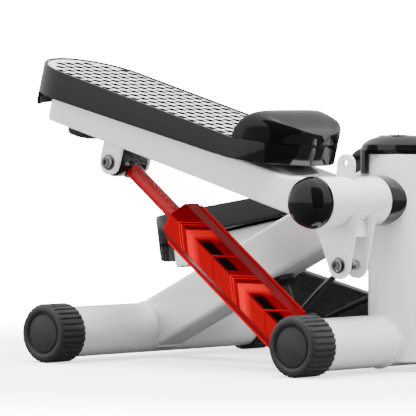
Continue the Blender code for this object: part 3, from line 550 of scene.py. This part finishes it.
def pedalTray(word):
    # the skirt's section (inset from the outline, height) carried round the plan, closed on its middle line
    spine, angle = planPath()
    top, rim, deck = plan["rim"], plan["rimWidth"], plan["tread"] - 2.8 * mm
    section = [(0.9 * mm, 0, 1), (0, 0.8 * mm, 1), (0, top - 1.2 * mm, 0), (0.25 * mm, top - 0.5 * mm, 0),
               (0.9 * mm, top, 0), (rim - 0.8 * mm, top, 0), (rim - 0.2 * mm, top - 0.4 * mm, 0),
               (rim, top - 1.0 * mm, 0), (rim, deck, 0), (plan["radius"], deck, 0),
               (plan["radius"], deck - 3 * mm, 0),
               (4.6 * mm, deck - 3 * mm, 0), (3.6 * mm, deck - 4.5 * mm, 0), (3.0 * mm, 0.4 * mm, 1),
               (2.6 * mm, 0, 1)]
    section = np.array(section + section[:1])
    out = (plan["radius"] - section[:, :1]) * np.ones_like(angle)
    x = spine + out * np.cos(angle)
    y = out * np.sin(angle)
    outerX = spine + plan["radius"] * np.cos(angle)
    fromHeel = np.abs(np.degrees(angle) - 180)
    isHeel = spine <= plan["heel"] + plan["radius"] + 1e-9
    lip = lipSizes["drop"] * smoothStep(lipSizes["outer"], lipSizes["inner"], fromHeel) * isHeel
    z = section[:, 1:2] + section[:, 2:] * (skirtFloor(outerX) - lip) + turnUp(x)
    grid = pedalSpace(word)(np.stack([x, y, z], axis=-1))
    makePiece("footTray" + word.title(), grid, gridFaces(len(section), len(angle)), glossBlack,
              word + "_pedal",
              ["footplate_" + word])


def treadHeight(x, y, centreHeel, inner):
    # how far down a point lies, and how much painted shade it gets: a flat plate with a round hole at every
    # lattice point that fits
    pitch, r, edge = holeSizes["pitch"], holeSizes["radius"], holeSizes["edge"]
    holeX = holeSizes["first"] + np.round((x - holeSizes["first"]) / pitch) * pitch
    holeY = (np.round(y / pitch - 0.5) + 0.5) * pitch
    reach = np.where(holeX < centreHeel, np.hypot(holeX - centreHeel, holeY), np.abs(holeY))
    fits = (reach + r < inner - holeSizes["margin"]) & (holeX < plan["bend"])
    distance = np.where(fits, np.hypot(x - holeX, y - holeY), pitch)
    sunk = smoothStep(r + edge / 2, r - edge / 2, distance)
    # the second value is the painted shade mask: 1 in each hole and a little past its rim
    return sunk, smoothStep(r + 1.4 * edge, r + 0.7 * edge, distance)


def treadPiece(word):
    # a plate on a grid: x runs from heel to toe, y is a share of the plan's half width there
    inset = plan["rimWidth"] + 0.3 * mm
    inner = plan["radius"] - inset
    centreHeel, centreToe = plan["heel"] + plan["radius"], plan["toe"] - plan["radius"]
    low, high = centreHeel - inner, centreToe + inner
    rows, columns = 521, 161
    x = (low + (high - low) * np.linspace(0, 1, rows))[:, None]
    beyond = np.maximum(0, centreHeel - x) + np.maximum(0, x - centreToe)
    half = np.sqrt(np.maximum(0, inner ** 2 - beyond ** 2))
    share = np.linspace(-1, 1, columns)
    y = half * share
    x = x + 0 * y
    sunk, hollow = treadHeight(x, y, centreHeel, inner)
    crown = 0.3 * mm * smoothStep(1, 0.985, np.abs(share))
    z = plan["tread"] - 0.3 * mm + crown - holeSizes["depth"] * sunk + turnUp(x)
    under = plan["tread"] - 2.5 * mm + turnUp(x)
    top = np.stack([x, y, z], axis=-1)
    bottom = np.stack([x, y, under], axis=-1)[:, [0, -1]][:, ::-1]
    grid = np.concatenate([top, bottom, top[:, :1]], axis=1)
    hollow = np.concatenate([hollow, np.zeros((rows, 2)), hollow[:, :1]], axis=1)
    grid = pedalSpace(word)(grid)
    makePiece("treadPlate" + word.title(), grid, gridFaces(rows, columns + 3, False), treadSilver,
              word + "_pedal",
              ["tread_plate_" + word], values={"hollow": hollow})


def toeHood(word):
    # arched sections from a concave rear edge over a ridge and down a scoop to the toe
    rows, columns = 60, 72
    u = np.linspace(0, 1, rows)[:, None]
    across = np.linspace(0, np.pi, columns)
    middle = plan["toe"] - plan["radius"]
    start, stop = plan["bend"] + 1 * mm, plan["toe"] - 0.4 * mm
    # the steps shorten towards the toe, where the plan turns fastest
    station = start + (stop - start) * np.sin(u * np.pi / 2)
    share = (station - start) / (stop - start)
    past = np.maximum(0, station - middle)
    half = np.sqrt(np.maximum(0, plan["radius"] ** 2 - past ** 2)) - 0.2 * mm
    rise = np.sqrt(1 - (1 - np.clip(share / hoodSizes["ridgeAt"], 0, 1)) ** 2)
    fall = np.clip((share - hoodSizes["ridgeAt"]) / (1 - hoodSizes["ridgeAt"]), 0, 1)
    crest = hoodSizes["start"] + (hoodSizes["ridge"] - hoodSizes["start"]) * rise
    crest = crest - (hoodSizes["ridge"] - hoodSizes["toe"]) * fall ** 3.5
    base = plan["rim"] + 0.2 * mm + turnUp(station)
    bend = np.sin(across)
    y = half * np.sign(np.cos(across)) * np.abs(np.cos(across)) ** 0.45
    x = station + hoodSizes["sag"] * (1 - share) ** 2 * bend ** 2 + 0 * y
    dish = hoodSizes["scoop"] * smoothStep(0.1, 0.7, fall) * smoothStep(0.5, 1, bend)
    z = base + (crest - base) * bend ** 0.32 - dish
    grid = np.stack([x, y, z], axis=-1)
    floor = np.stack([x, y, base + 0 * y], axis=-1)[:, ::-1]
    ring = closeEnds(np.concatenate([grid, floor], axis=1))
    ring = pedalSpace(word)(ring)
    makePiece("toeHood" + word.title(), ring, gridFaces(len(ring), ring.shape[1]), glossBlack,
              word + "_pedal",
              ["toe_cap_" + word], sharp=50)


def pedalArm(word):
    # a rounded section carried from the heel to the sleeve; its top follows the skirt's floor
    turnEnd = armSizes["planCorner"] * (1 - np.cos(np.linspace(0, np.pi / 2, 12)))
    x = np.concatenate([armSizes["heel"] + turnEnd,
                        np.linspace(armSizes["heel"] + armSizes["planCorner"] + 2 * mm, -60 * mm, 50),
                        np.linspace(-56 * mm, armSizes["front"], 16)])
    short = np.minimum(0, x - armSizes["heel"] - armSizes["planCorner"])
    inset = armSizes["planCorner"] - np.sqrt(np.maximum(0, armSizes["planCorner"] ** 2 - short ** 2))
    half = armSizes["half"] - inset
    top = skirtFloor(x) - armSizes["clear"] + 6 * mm * smoothStep(-50 * mm, -14 * mm, x)
    y, z = roundedSection(half, (top - armSizes["bottom"]) / 2, armSizes["corner"])
    rings = np.stack([x[:, None] + 0 * y, y, z + (top[:, None] + armSizes["bottom"]) / 2], axis=-1)
    grid = pedalSpace(word)(closeEnds(rings))
    makePiece("pedalArm" + word.title(), grid, gridFaces(len(grid), grid.shape[1]), paint, word + "_pedal",
              ["pedal_arm_" + word])


def sleevePiece(word):
    r, h, bore, e = (sleeveSizes[key] for key in ("radius", "half", "bore", "edge"))
    profile = [(bore, -h), (r - e, -h), (r - 0.3 * e, -h + 0.3 * e), (r, -h + e), (r, h - e),
               (r - 0.3 * e, h - 0.3 * e),
               (r - e, h), (bore, h), (bore, -h)]
    turnedPiece("pivotSleeve" + word.title(), profile, paint, word + "_pedal",
                ["pivot_sleeve_" + word],
                96, (0, 0, 0), (0, 1, 0), pedalSpace(word))


def sleeveCap(word):
    # a flange with a fine bead, then a dome: radius cos angle, height sin angle
    angle = np.linspace(0, np.pi / 2, 22)[1:]
    dome = np.stack([22.4 * mm * np.cos(angle), 8 * mm + 14.2 * mm * np.sin(angle)], axis=-1)
    flange = [(15.7 * mm, 0.3 * mm), (22.6 * mm, 0.3 * mm), (23.4 * mm, 0.8 * mm), (23.6 * mm, 1.6 * mm),
              (23.2 * mm, 2.4 * mm),
              (22.6 * mm, 2.7 * mm), (22.5 * mm, 3.2 * mm), (23.3 * mm, 3.8 * mm), (23.5 * mm, 5.0 * mm),
              (23.1 * mm, 7.0 * mm), (22.4 * mm, 8.4 * mm)]
    inside = [(0, 10 * mm), (13.7 * mm, 10 * mm), (13.7 * mm, -4.5 * mm), (15.7 * mm, -4.5 * mm),
              (15.7 * mm, 0.3 * mm)]
    profile = np.concatenate([flange, dome, inside])
    profile[len(flange) + len(dome) - 1, 0] = 0
    side = sides[word]
    turnedPiece("sleeveCap" + word.title(), profile, glossBlack, word + "_pedal",
                ["sleeve_cap_" + word], 96, (0, side * sleeveSizes["half"], 0), (0, side, 0),
                pedalSpace(word))
    ring = [(22.2 * mm, 2.6 * mm), (23.5 * mm, 2.6 * mm), (23.8 * mm, 3.0 * mm), (23.5 * mm, 3.4 * mm),
            (22.2 * mm, 3.4 * mm), (22.2 * mm, 2.6 * mm)]
    turnedPiece("capRing" + word.title(), ring, zinc, word + "_pedal", (), 96,
                (0, side * sleeveSizes["half"], 0), (0, side, 0), pedalSpace(word))


def pinCentre(node, word):
    # a pin's middle: its own height and place along the object, and the pedal's middle plane
    centre = middleOf(node + word)
    centre[1] = joints[word + "_pedal_swing"]["pos_m"][1]
    return centre


def boltPieces(name, node, centre, half, axisSide, body, head=6.0 * mm):
    # a socket screw with its washer on one side, and a washer and hexagon nut on the other
    h = head
    screw = [(0, 3.4 * mm), (0.42 * h, 3.4 * mm), (0.46 * h, 5.2 * mm), (0.86 * h, 5.2 * mm),
             (0.98 * h, 4.6 * mm),
             (h, 3.8 * mm), (h, 1.1 * mm), (1.34 * h, 1.0 * mm), (1.38 * h, 0.7 * mm),
             (1.38 * h, 0.1 * mm), (0, 0.1 * mm)]
    headEnd = np.array([0, axisSide * half, 0])
    turnedPiece(name + "Head", screw, zinc, body, [node], 40, centre + headEnd,
                (0, axisSide, 0))
    shank = [(0, -half), (pinSizes["shank"], -half), (pinSizes["shank"], half), (0, half)]
    turnedPiece(name + "Shank", shank, zinc, body, (), 32, centre, (0, 1, 0))
    washer = [(0, 1.0 * mm), (1.34 * h, 1.0 * mm), (1.38 * h, 0.7 * mm), (1.38 * h, 0.1 * mm), (0, 0.1 * mm)]
    turnedPiece(name + "Washer", washer, zinc, body, (), 40, centre - headEnd,
                (0, -axisSide, 0))
    angle = np.linspace(0, 2 * np.pi, 48, endpoint=False)
    flat = np.cos(np.pi / 6) / np.cos(np.mod(angle, np.pi / 3) - np.pi / 6)
    stages = np.array([(0, 1.0 * mm), (1.0, 1.0 * mm), (1.14, 1.5 * mm), (1.14, 4.4 * mm), (0.98, 5.2 * mm),
                       (0, 5.2 * mm)])
    radius = np.minimum(stages[:, :1] * h, 1.14 * h * flat)
    nut = np.stack([radius * np.cos(angle), radius * np.sin(angle), stages[:, 1:] + 0 * angle], axis=-1)
    nut = layAlong(nut, centre - headEnd, (0, -axisSide, 0))
    makePiece(name + "Nut", nut, gridFaces(len(stages), 48), zinc, body)


def bumperPiece(word):
    r, low = bumperSizes["radius"], armSizes["bottom"] - bumperSizes["height"]
    top = armSizes["bottom"] - 0.3 * mm
    profile = [(0, low), (r - 3.2 * mm, low), (r - 1.4 * mm, low + 0.5 * mm), (r - 0.4 * mm, low + 1.6 * mm),
               (r, low + 3.2 * mm), (r + 0.2 * mm, top - 1 * mm), (r, top), (0, top)]
    turnedPiece("heelBumper" + word.title(), profile, rubber, word + "_pedal",
                ["bumper_" + word], 64,
                (bumperSizes["x"], 0, 0), (0, 0, 1), pedalSpace(word))


for word, side in sides.items():
    body = word + "_pedal"
    pedalTray(word)
    treadPiece(word)
    toeHood(word)
    pedalArm(word)
    sleevePiece(word)
    sleeveCap(word)
    bumperPiece(word)
    roundedCopy("cableLug" + word.title(), "cable_lug_" + word, 0.5 * mm, paint, body)
    roundedCopy("bandEar" + word.title(), "band_ear_" + word, 0.5 * mm, paint, body)
    roundedCopy("damperClevis" + word.title(), "damper_clevis_" + word, 0.5 * mm, paint, body)
    boltPieces("cableScrew" + word.title(), "cable_bolt_" + word, pinCentre("cable_bolt_", word),
               pinSizes["lugHalf"],
               side, body, 5.4 * mm)
    boltPieces("clevisScrew" + word.title(), "clevis_bolt_" + word, pinCentre("clevis_bolt_", word),
               pinSizes["clevisHalf"], side, body, 5.6 * mm)
    roundedCopy("pivotCollar" + word.title(), "pivot_spacer_" + word, 0, glossBlack, "base")
print("pedals done")


shellSizes = {"corner": 22.5 * mm, "bottom": 14 * mm, "top": 184 * mm, "bore": 15.3 * mm, "relief": 0.5 * mm,
              "pitch": 80 * mm, "firstMark": 12.5 * mm, "step": 0.8 * mm, "finHalf": 1.3 * mm,
              "finReach": 1.5 * mm}
rodSizes = {"radius": 7.5 * mm, "eye": 13.5 * mm, "eyeHalf": 16.5 * mm, "hole": 8 * mm, "barrelTop": 188 * mm}
facet = shellSizes["corner"] * math.cos(math.pi / 8)      # from the axis to the middle of a flat
halfFlat = shellSizes["corner"] * math.sin(math.pi / 8)


def shellToneAndShading(mark, flat):
    # chevrons down the shell: two thin bars, a thick bar that fades, then dark panels beside the ridge; painted
    # shade in the gaps between bars, and painted light and shade that differ from flat to flat
    phase = np.mod(mark, shellSizes["pitch"])
    soft = 0.35 * mm

    def bar(start, stop):
        return smoothStep(start - soft, start + soft, phase) * smoothStep(stop + soft, stop - soft, phase)

    bright = bar(0 * mm, 1.6 * mm) + bar(4.0 * mm, 5.4 * mm) + bar(12.5 * mm, 23 * mm)
    bright = bright + 0.6 * smoothStep(22.5 * mm, 23.5 * mm, phase) * smoothStep(33 * mm, 23.5 * mm, phase)
    grooveShade = bar(7.4 * mm, 10.5 * mm) + 0.5 * bar(1.6 * mm, 4.0 * mm)
    panel = bar(27 * mm, 50 * mm) + bar(54 * mm, 73 * mm)
    small = bar(50.6 * mm, 52.4 * mm)
    onUpper, onOuter = flat == 0, flat == 7
    marked = (mark > -0.5 * mm) * 1.0
    # painted light and shade: each flat has its own base tone, the upper flat darkest and the outer flat lightest
    tone = np.select([onUpper, onOuter, flat == 6, flat == 1], [0.27, 0.52, 0.3, 0.4], 0.42) + 0 * phase
    # chevrons add more brightness on the upper flat than on the outer one, and the gaps between bars get painted
    # shade
    tone = tone + marked * onUpper * (0.62 * bright - 0.12 * grooveShade + 0.4 * small)
    tone = tone + marked * onOuter * (0.46 * bright - 0.16 * grooveShade * (bright < 0.5))
    lift = marked * (onUpper | onOuter) * (np.minimum(bright, 1) + small)
    return tone, lift, marked * onUpper * panel


def damperShell(word):
    # an octagon carried up the damper; its rows follow the chevrons, so height = row level - distance from
    # the ridge
    place = damperSpace(word)
    side = sides[word]
    inset = np.linspace(-1, 1, 9) * (halfFlat - 0.2 * mm)
    flat = np.repeat(np.arange(8), 9)
    across = np.tile(inset, 8)
    turn = (flat + 1) * np.pi / 4
    forward = facet * np.sin(turn) + across * np.cos(turn)
    outward = facet * np.cos(turn) - across * np.sin(turn)
    run = flat * 2 * halfFlat + across + halfFlat
    ridge = np.minimum(np.minimum(run, 16 * halfFlat - run), 2 * halfFlat)
    low, high = shellSizes["bottom"], shellSizes["top"]
    level = np.arange(low, high + 2 * halfFlat, shellSizes["step"])[:, None]
    height = np.clip(level - ridge, low, high)
    tone, lift, panel = shellToneAndShading(high - shellSizes["firstMark"] - level, flat)
    beside = smoothStep(0.6 * mm, 1.2 * mm, ridge) * smoothStep(9.5 * mm, 8.9 * mm, ridge)
    tone = tone - 0.27 * panel * beside
    inside = smoothStep(low, low + 1.5 * mm, height) * smoothStep(high, high - 1.5 * mm, height)
    edge = smoothStep(halfFlat - 0.2 * mm, halfFlat - 0.9 * mm, np.abs(across))
    raised = shellSizes["relief"] * inside * edge * (lift - panel * beside)
    end = 1 - 0.05 * (1 - inside)
    x = (forward + raised * np.sin(turn)) * end
    y = side * (outward + raised * np.cos(turn)) * end
    outer = np.stack([x, y, height], axis=-1)
    angle = np.arctan2(forward, outward)
    bore = shellSizes["bore"] * np.stack([np.sin(angle), side * np.cos(angle), 0 * angle], axis=-1)
    bottom, top = bore + np.array([0, 0, low]), bore + np.array([0, 0, high])
    grid = np.concatenate([bottom[None], outer, top[None], bottom[None]])
    tone = np.concatenate([tone[:1], np.broadcast_to(tone, outer.shape[:2]), tone[-1:], tone[:1]])
    makePiece("damperShell" + word.title(), place(grid), gridFaces(len(grid), 72), shells[word],
              word + "_damper",
              ["damper_shell_" + word], sharp=20, values={"tone": tone})
    for label, corner in (("Upper", 1), ("Lower", -1)):
        # a seam flange on the corner a quarter turn from the ridge: a rounded section carried up the shell, toned
        # brighter than the shell as a painted highlight along that corner
        turn = np.pi / 8 + corner * np.pi / 2
        radial = np.array([np.sin(turn), side * np.cos(turn), 0])
        tangent = np.array([np.cos(turn), -side * np.sin(turn), 0])
        u, v = roundedSection(shellSizes["finHalf"], 3 * mm, 0.8 * mm, 4)
        z = np.concatenate([[low + 5 * mm], np.linspace(low + 6 * mm, high - 6 * mm, 30), [high - 5 * mm]])
        shrink = np.where((z < low + 5.5 * mm) | (z > high - 5.5 * mm), 0.6, 1.0)[:, None]
        centre = shellSizes["corner"] + shellSizes["finReach"] - 3 * mm
        fin = ((centre + v * shrink)[..., None] * radial + (u * shrink)[..., None] * tangent)
        fin = closeEnds(fin + z[:, None, None] * np.array([0, 0, 1]))
        # painted highlight: tone 0.8 makes the seam flanges brighter than the shell body
        makePiece("shellSeam" + label + word.title(), place(fin), gridFaces(len(fin), len(u)), shells[word],
                  word + "_damper", values={"tone": np.full(fin.shape[:2], 0.8)})


def damperRod(word):
    place = damperSpace(word)
    pin = middleOf("clevis_bolt_" + word)
    lower = np.array(joints[word + "_damper_tilt"]["pos_m"])
    length = math.hypot(pin[0] - lower[0], pin[2] - lower[2])
    r, top = rodSizes["radius"], length - 11 * mm
    shank = [(0, 120 * mm), (r, 120 * mm), (r, top), (0, top)]
    # painted reflection: the right rod is coloured red instead of chrome, while the left rod stays chrome
    finish = {"right": rodRedReflection, "left": chrome}[word]
    turnedPiece("pistonRod" + word.title(), shank, finish, word + "_rod", ["piston_rod_" + word],
                48, place=place)
    neck = [(0, length - 13.7 * mm), (8.6 * mm, length - 13.7 * mm), (9.4 * mm, length - 13.2 * mm),
            (10.0 * mm, length - 12 * mm), (10.4 * mm, length - 9 * mm), (0, length - 9 * mm)]
    turnedPiece("rodNeck" + word.title(), neck, glossBlack, word + "_rod", (), 48,
                place=place)
    e, h, b = rodSizes["eye"], rodSizes["eyeHalf"], 1.4 * mm
    eye = [(rodSizes["hole"], -h), (e - b, -h), (e - 0.3 * b, -h + 0.3 * b), (e, -h + b), (e, -5 * mm),
           (e - 0.7 * mm, -4.4 * mm),
           (e - 0.7 * mm, 4.4 * mm), (e, 5 * mm), (e, h - b), (e - 0.3 * b, h - 0.3 * b), (e - b, h),
           (rodSizes["hole"], h), (rodSizes["hole"], -h)]
    turnedPiece("rodEye" + word.title(), eye, glossBlack, word + "_rod", (), 64,
                (0, 0, length), (0, 1, 0), place)
    low = rodSizes["barrelTop"]
    collar = [(r + 0.2 * mm, low), (12.0 * mm, low), (12.3 * mm, low + 0.3 * mm), (11.4 * mm, low + 1.0 * mm),
              (9.2 * mm, low + 1.5 * mm), (r + 0.2 * mm, low + 1.6 * mm), (r + 0.2 * mm, low)]
    thing = turnedPiece("rodWiper" + word.title(), collar, shells[word], word + "_damper",
                        (), 48, place=place)
    tone = thing.data.attributes.new("tone", "FLOAT", "POINT")
    tone.data.foreach_set("value", np.full(len(thing.data.vertices), 0.45, np.float32))


for word, side in sides.items():
    damperShell(word)
    damperRod(word)
    roundedCopy("damperBracket" + word.title(), "damper_lug_" + word, 0.5 * mm, paint, "base")
    pinPlace = np.array(joints[word + "_damper_tilt"]["pos_m"])
    boltPieces("lowerPin" + word.title(), "damper_bolt_" + word, pinPlace, 12 * mm, side, "base", 5.2 * mm)
print("dampers done")


cableSizes = {"radius": 2.8 * mm, "sag": 4.5 * mm, "pulley": 19.8 * mm, "ferrule": 4.0 * mm,
              "ferruleLength": 15 * mm}


def cablePieces(word):
    # round the back of the pulley on an arc, then a slightly bowed run up to the lug's screw
    side = sides[word]
    slope = math.radians(beamSizes["slope"])
    along = np.array([math.cos(slope), 0, math.sin(slope)])
    across = np.array([0, side, 0])
    pulley = np.array(joints["pulley_spin"]["pos_m"])
    angle = np.radians(np.linspace(2, 86, 9))[:, None]
    bend = pulley + cableSizes["pulley"] * (across * np.sin(angle) - along * np.cos(angle))
    leave = bend[-1] + along * 12 * mm
    pin = pinCentre("cable_bolt_", word)
    heading = (leave - pin) / np.linalg.norm(leave - pin)
    stop = pin + heading * 7 * mm
    share = np.linspace(0, 1, 10)[:, None]
    free = leave + (stop - leave) * share + np.array([0, 0, cableSizes["sag"]]) * np.sin(np.pi * share)
    path = smoothPath(np.concatenate([bend, free]), 150)
    normal = joints["pulley_spin"]["axis"]
    tube = closeEnds(sweptTube(path, cableSizes["radius"], normal))
    thing = makePiece("pullCable" + word.title(), tube, gridFaces(len(tube), 16), sheath, None,
                      ["cable_" + word])
    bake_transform(thing)
    # the ferrule: a crimped steel sleeve on the last stretch, and a flat eye on the screw
    direction = path[-1] - path[-14]
    direction = direction / np.linalg.norm(direction)
    r, length = cableSizes["ferrule"], cableSizes["ferruleLength"]
    ferrule = [(0, 0), (r - 0.6 * mm, 0), (r, 0.6 * mm), (r, 4 * mm), (r - 0.5 * mm, 4.6 * mm),
               (r - 0.5 * mm, 5.4 * mm),
               (r, 6 * mm), (r, 10 * mm), (r - 0.5 * mm, 10.6 * mm), (r - 0.5 * mm, 11.4 * mm), (r, 12 * mm),
               (r, length - 0.5 * mm), (r - 0.5 * mm, length), (0, length)]
    turnedPiece("cableFerrule" + word.title(), ferrule, zinc, word + "_pedal", (), 40,
                stop - direction * (length - 2 * mm), direction)
    eye = [(4.4 * mm, -2.6 * mm), (6.6 * mm, -2.6 * mm), (7 * mm, -2.2 * mm), (7 * mm, 2.2 * mm),
           (6.6 * mm, 2.6 * mm),
           (4.4 * mm, 2.6 * mm), (4.4 * mm, -2.6 * mm)]
    turnedPiece("cableEye" + word.title(), eye, zinc, word + "_pedal", (), 48, pin, (0, 1, 0))


for word in sides:
    cablePieces(word)
roundedCopy("consoleBody", "console_housing", 0, glossBlack, "base")
roundedCopy("consoleTop", "console_cover", 0, glossBlack, "base")
print("cable and console done")


studio = {"floor": "#F7F7F7", "bounce": "#969696", "glow": 16.5, "floorGlow": 1.5, "fadeFrom": 0.36,
          "fadeTo": 1.0}
view = {"azimuth": 41.963, "elevation": 1.655, "distance": 4.0566, "lens": 365.8, "aim": (-77.8 * mm, 0, 0)}


def stagePiece(name, points, faces, material, seen):
    # seen lists the kinds of rays that meet a stage piece; the others pass through it
    mesh = bpy.data.meshes.new(name)
    mesh.from_pydata(np.asarray(points).reshape(-1, 3).tolist(), [], np.asarray(faces).tolist())
    mesh.materials.append(material)
    thing = bpy.data.objects.new(name, mesh)
    bpy.context.scene.collection.objects.link(thing)
    for kind in ("camera", "diffuse", "glossy", "transmission", "volume_scatter", "shadow"):
        setattr(thing, "visible_" + kind, kind in seen)


def addFloor():
    # a white floor that fades into the backdrop by its distance from the object, over a greyer one that
    # throws light up
    reach = 7.5
    corners = np.array([(-reach, -reach, 0), (reach, -reach, 0), (reach, reach, 0), (-reach, reach, 0)])
    material, tree, shader = newMaterial("paleStudioFloor", studio["floor"], 0.8)
    shader.inputs["Emission Color"].default_value = (1, 1, 1, 1)
    place = addNode(tree, "TexCoord")
    away = addNode(tree, "VectorMath", {"operation": "LENGTH"}, {"Vector": (place, "Object")})
    glow = addNode(tree, "MapRange", {"interpolation_type": "SMOOTHSTEP"},
                   {"Value": (away, "Value"), "From Min": studio["fadeFrom"], "From Max": studio["fadeTo"],
                    "To Min": studio["floorGlow"], "To Max": studio["glow"]})
    tree.links.new(glow.outputs["Result"], shader.inputs["Emission Strength"])
    stagePiece("studioFloor", corners, [(0, 1, 2, 3)], material, ["camera"])
    bounce = newMaterial("greyBounceFloor", studio["bounce"], 0.9)[0]
    lower = corners - np.array([0, 0, 0.5 * mm])
    stagePiece("bounceFloor", lower, [(0, 1, 2, 3)], bounce, ["diffuse", "shadow"])


def addBackdrop():
    # a white sphere round the stage: radius cos angle, height radius sin angle, turned round +Z
    angle = np.linspace(-np.pi / 2, np.pi / 2, 25)
    profile = 7.0 * np.stack([np.cos(angle), np.sin(angle)], axis=-1)
    material, _, shader = newMaterial("whiteBackdrop", "#FFFFFF", 0.9)
    shader.inputs["Emission Color"].default_value = (1, 1, 1, 1)
    shader.inputs["Emission Strength"].default_value = studio["glow"]
    stagePiece("whiteBackdrop", turnedGrid(profile, 48), gridFaces(25, 48), material, ["camera"])


def addCard(name, azimuth, elevation, distance, width, height, code):
    # a matt card on a sphere round the object, facing it and unseen by the camera
    a, e = math.radians(azimuth), math.radians(elevation)
    outward = Vector((math.sin(a) * math.cos(e), -math.cos(a) * math.cos(e), math.sin(e)))
    sheet = np.array([(-width / 2, -height / 2, 0), (width / 2, -height / 2, 0),
                      (width / 2, height / 2, 0), (-width / 2, height / 2, 0)])
    points = layAlong(sheet, (cadLow + cadHigh) / 2 + distance * outward, outward)
    material = newMaterial(name, code, 0.9)[0]
    material.node_tree.nodes["Principled BSDF"].inputs["Specular IOR Level"].default_value = 0.0
    stagePiece(name, points, [(0, 1, 2, 3)], material, ["glossy"])


def addLight(name, azimuth, elevation, distance, width, height, power):
    # an area light on a sphere round the object, turned towards its middle
    a, e = math.radians(azimuth), math.radians(elevation)
    middle = (cadLow + cadHigh) / 2
    place = middle + distance * Vector((math.sin(a) * math.cos(e), -math.cos(a) * math.cos(e), math.sin(e)))
    light = bpy.data.lights.new(name, "AREA")
    light.shape = "RECTANGLE"
    light.size, light.size_y = width, height
    light.energy = power
    lamp = bpy.data.objects.new(name, light)
    bpy.context.scene.collection.objects.link(lamp)
    lamp.visible_glossy = False  # mirror reflections show only the cards and the world
    lamp.location = place
    lamp.rotation_euler = (place - middle).to_track_quat("Z", "Y").to_euler()


def addWorld():
    # soft light by height: dim below the horizon, brighter above it
    world = bpy.data.worlds.new("softStudio")
    world.use_nodes = True
    tree = world.node_tree
    place = addNode(tree, "TexCoord")
    height = addNode(tree, "SeparateXYZ", None, {"Vector": (place, "Generated")})
    share = addNode(tree, "MapRange", None, {"Value": (height, "Z"), "From Min": -1.0, "From Max": 1.0})
    ramp = addNode(tree, "ValToRGB", None, {"Fac": (share, "Result")})
    ramp.color_ramp.elements[0].color = srgb("#404040")
    ramp.color_ramp.elements[1].color = srgb("#FFFFFF")
    for level, code in ((0.485, "#707070"), (0.5, "#D2D2D2"), (0.62, "#E0E0E0")):
        ramp.color_ramp.elements.new(level).color = srgb(code)
    tree.links.new(ramp.outputs["Color"], tree.nodes["Background"].inputs["Color"])
    bpy.context.scene.world = world


def addCamera():
    a, e = math.radians(view["azimuth"]), math.radians(view["elevation"])
    back = Vector((math.sin(a) * math.cos(e), -math.cos(a) * math.cos(e), math.sin(e)))
    aim = (cadLow + cadHigh) / 2 + Vector(view["aim"])
    camera = bpy.data.cameras.new("mainView")
    camera.lens = view["lens"]
    camera.sensor_width = 36
    camera.clip_end = 100
    holder = bpy.data.objects.new("mainView", camera)
    bpy.context.scene.collection.objects.link(holder)
    holder.location = aim + back * view["distance"]
    holder.rotation_euler = back.to_track_quat("Z", "Y").to_euler()
    bpy.context.scene.camera = holder


addFloor()
addBackdrop()
addWorld()
addCard("blackCard", view["azimuth"] + 6, 22, 2.6, 3.6, 4.6, "#020202")
addLight("topSoftbox", 0, 82, 2.4, 2.2, 1.6, 300)
addLight("leftWindow", -50, 20, 3.2, 1.4, 1.8, 110)
addLight("rightWindow", 110, 24, 3.0, 1.6, 1.8, 70)
addCamera()
print("stage done")
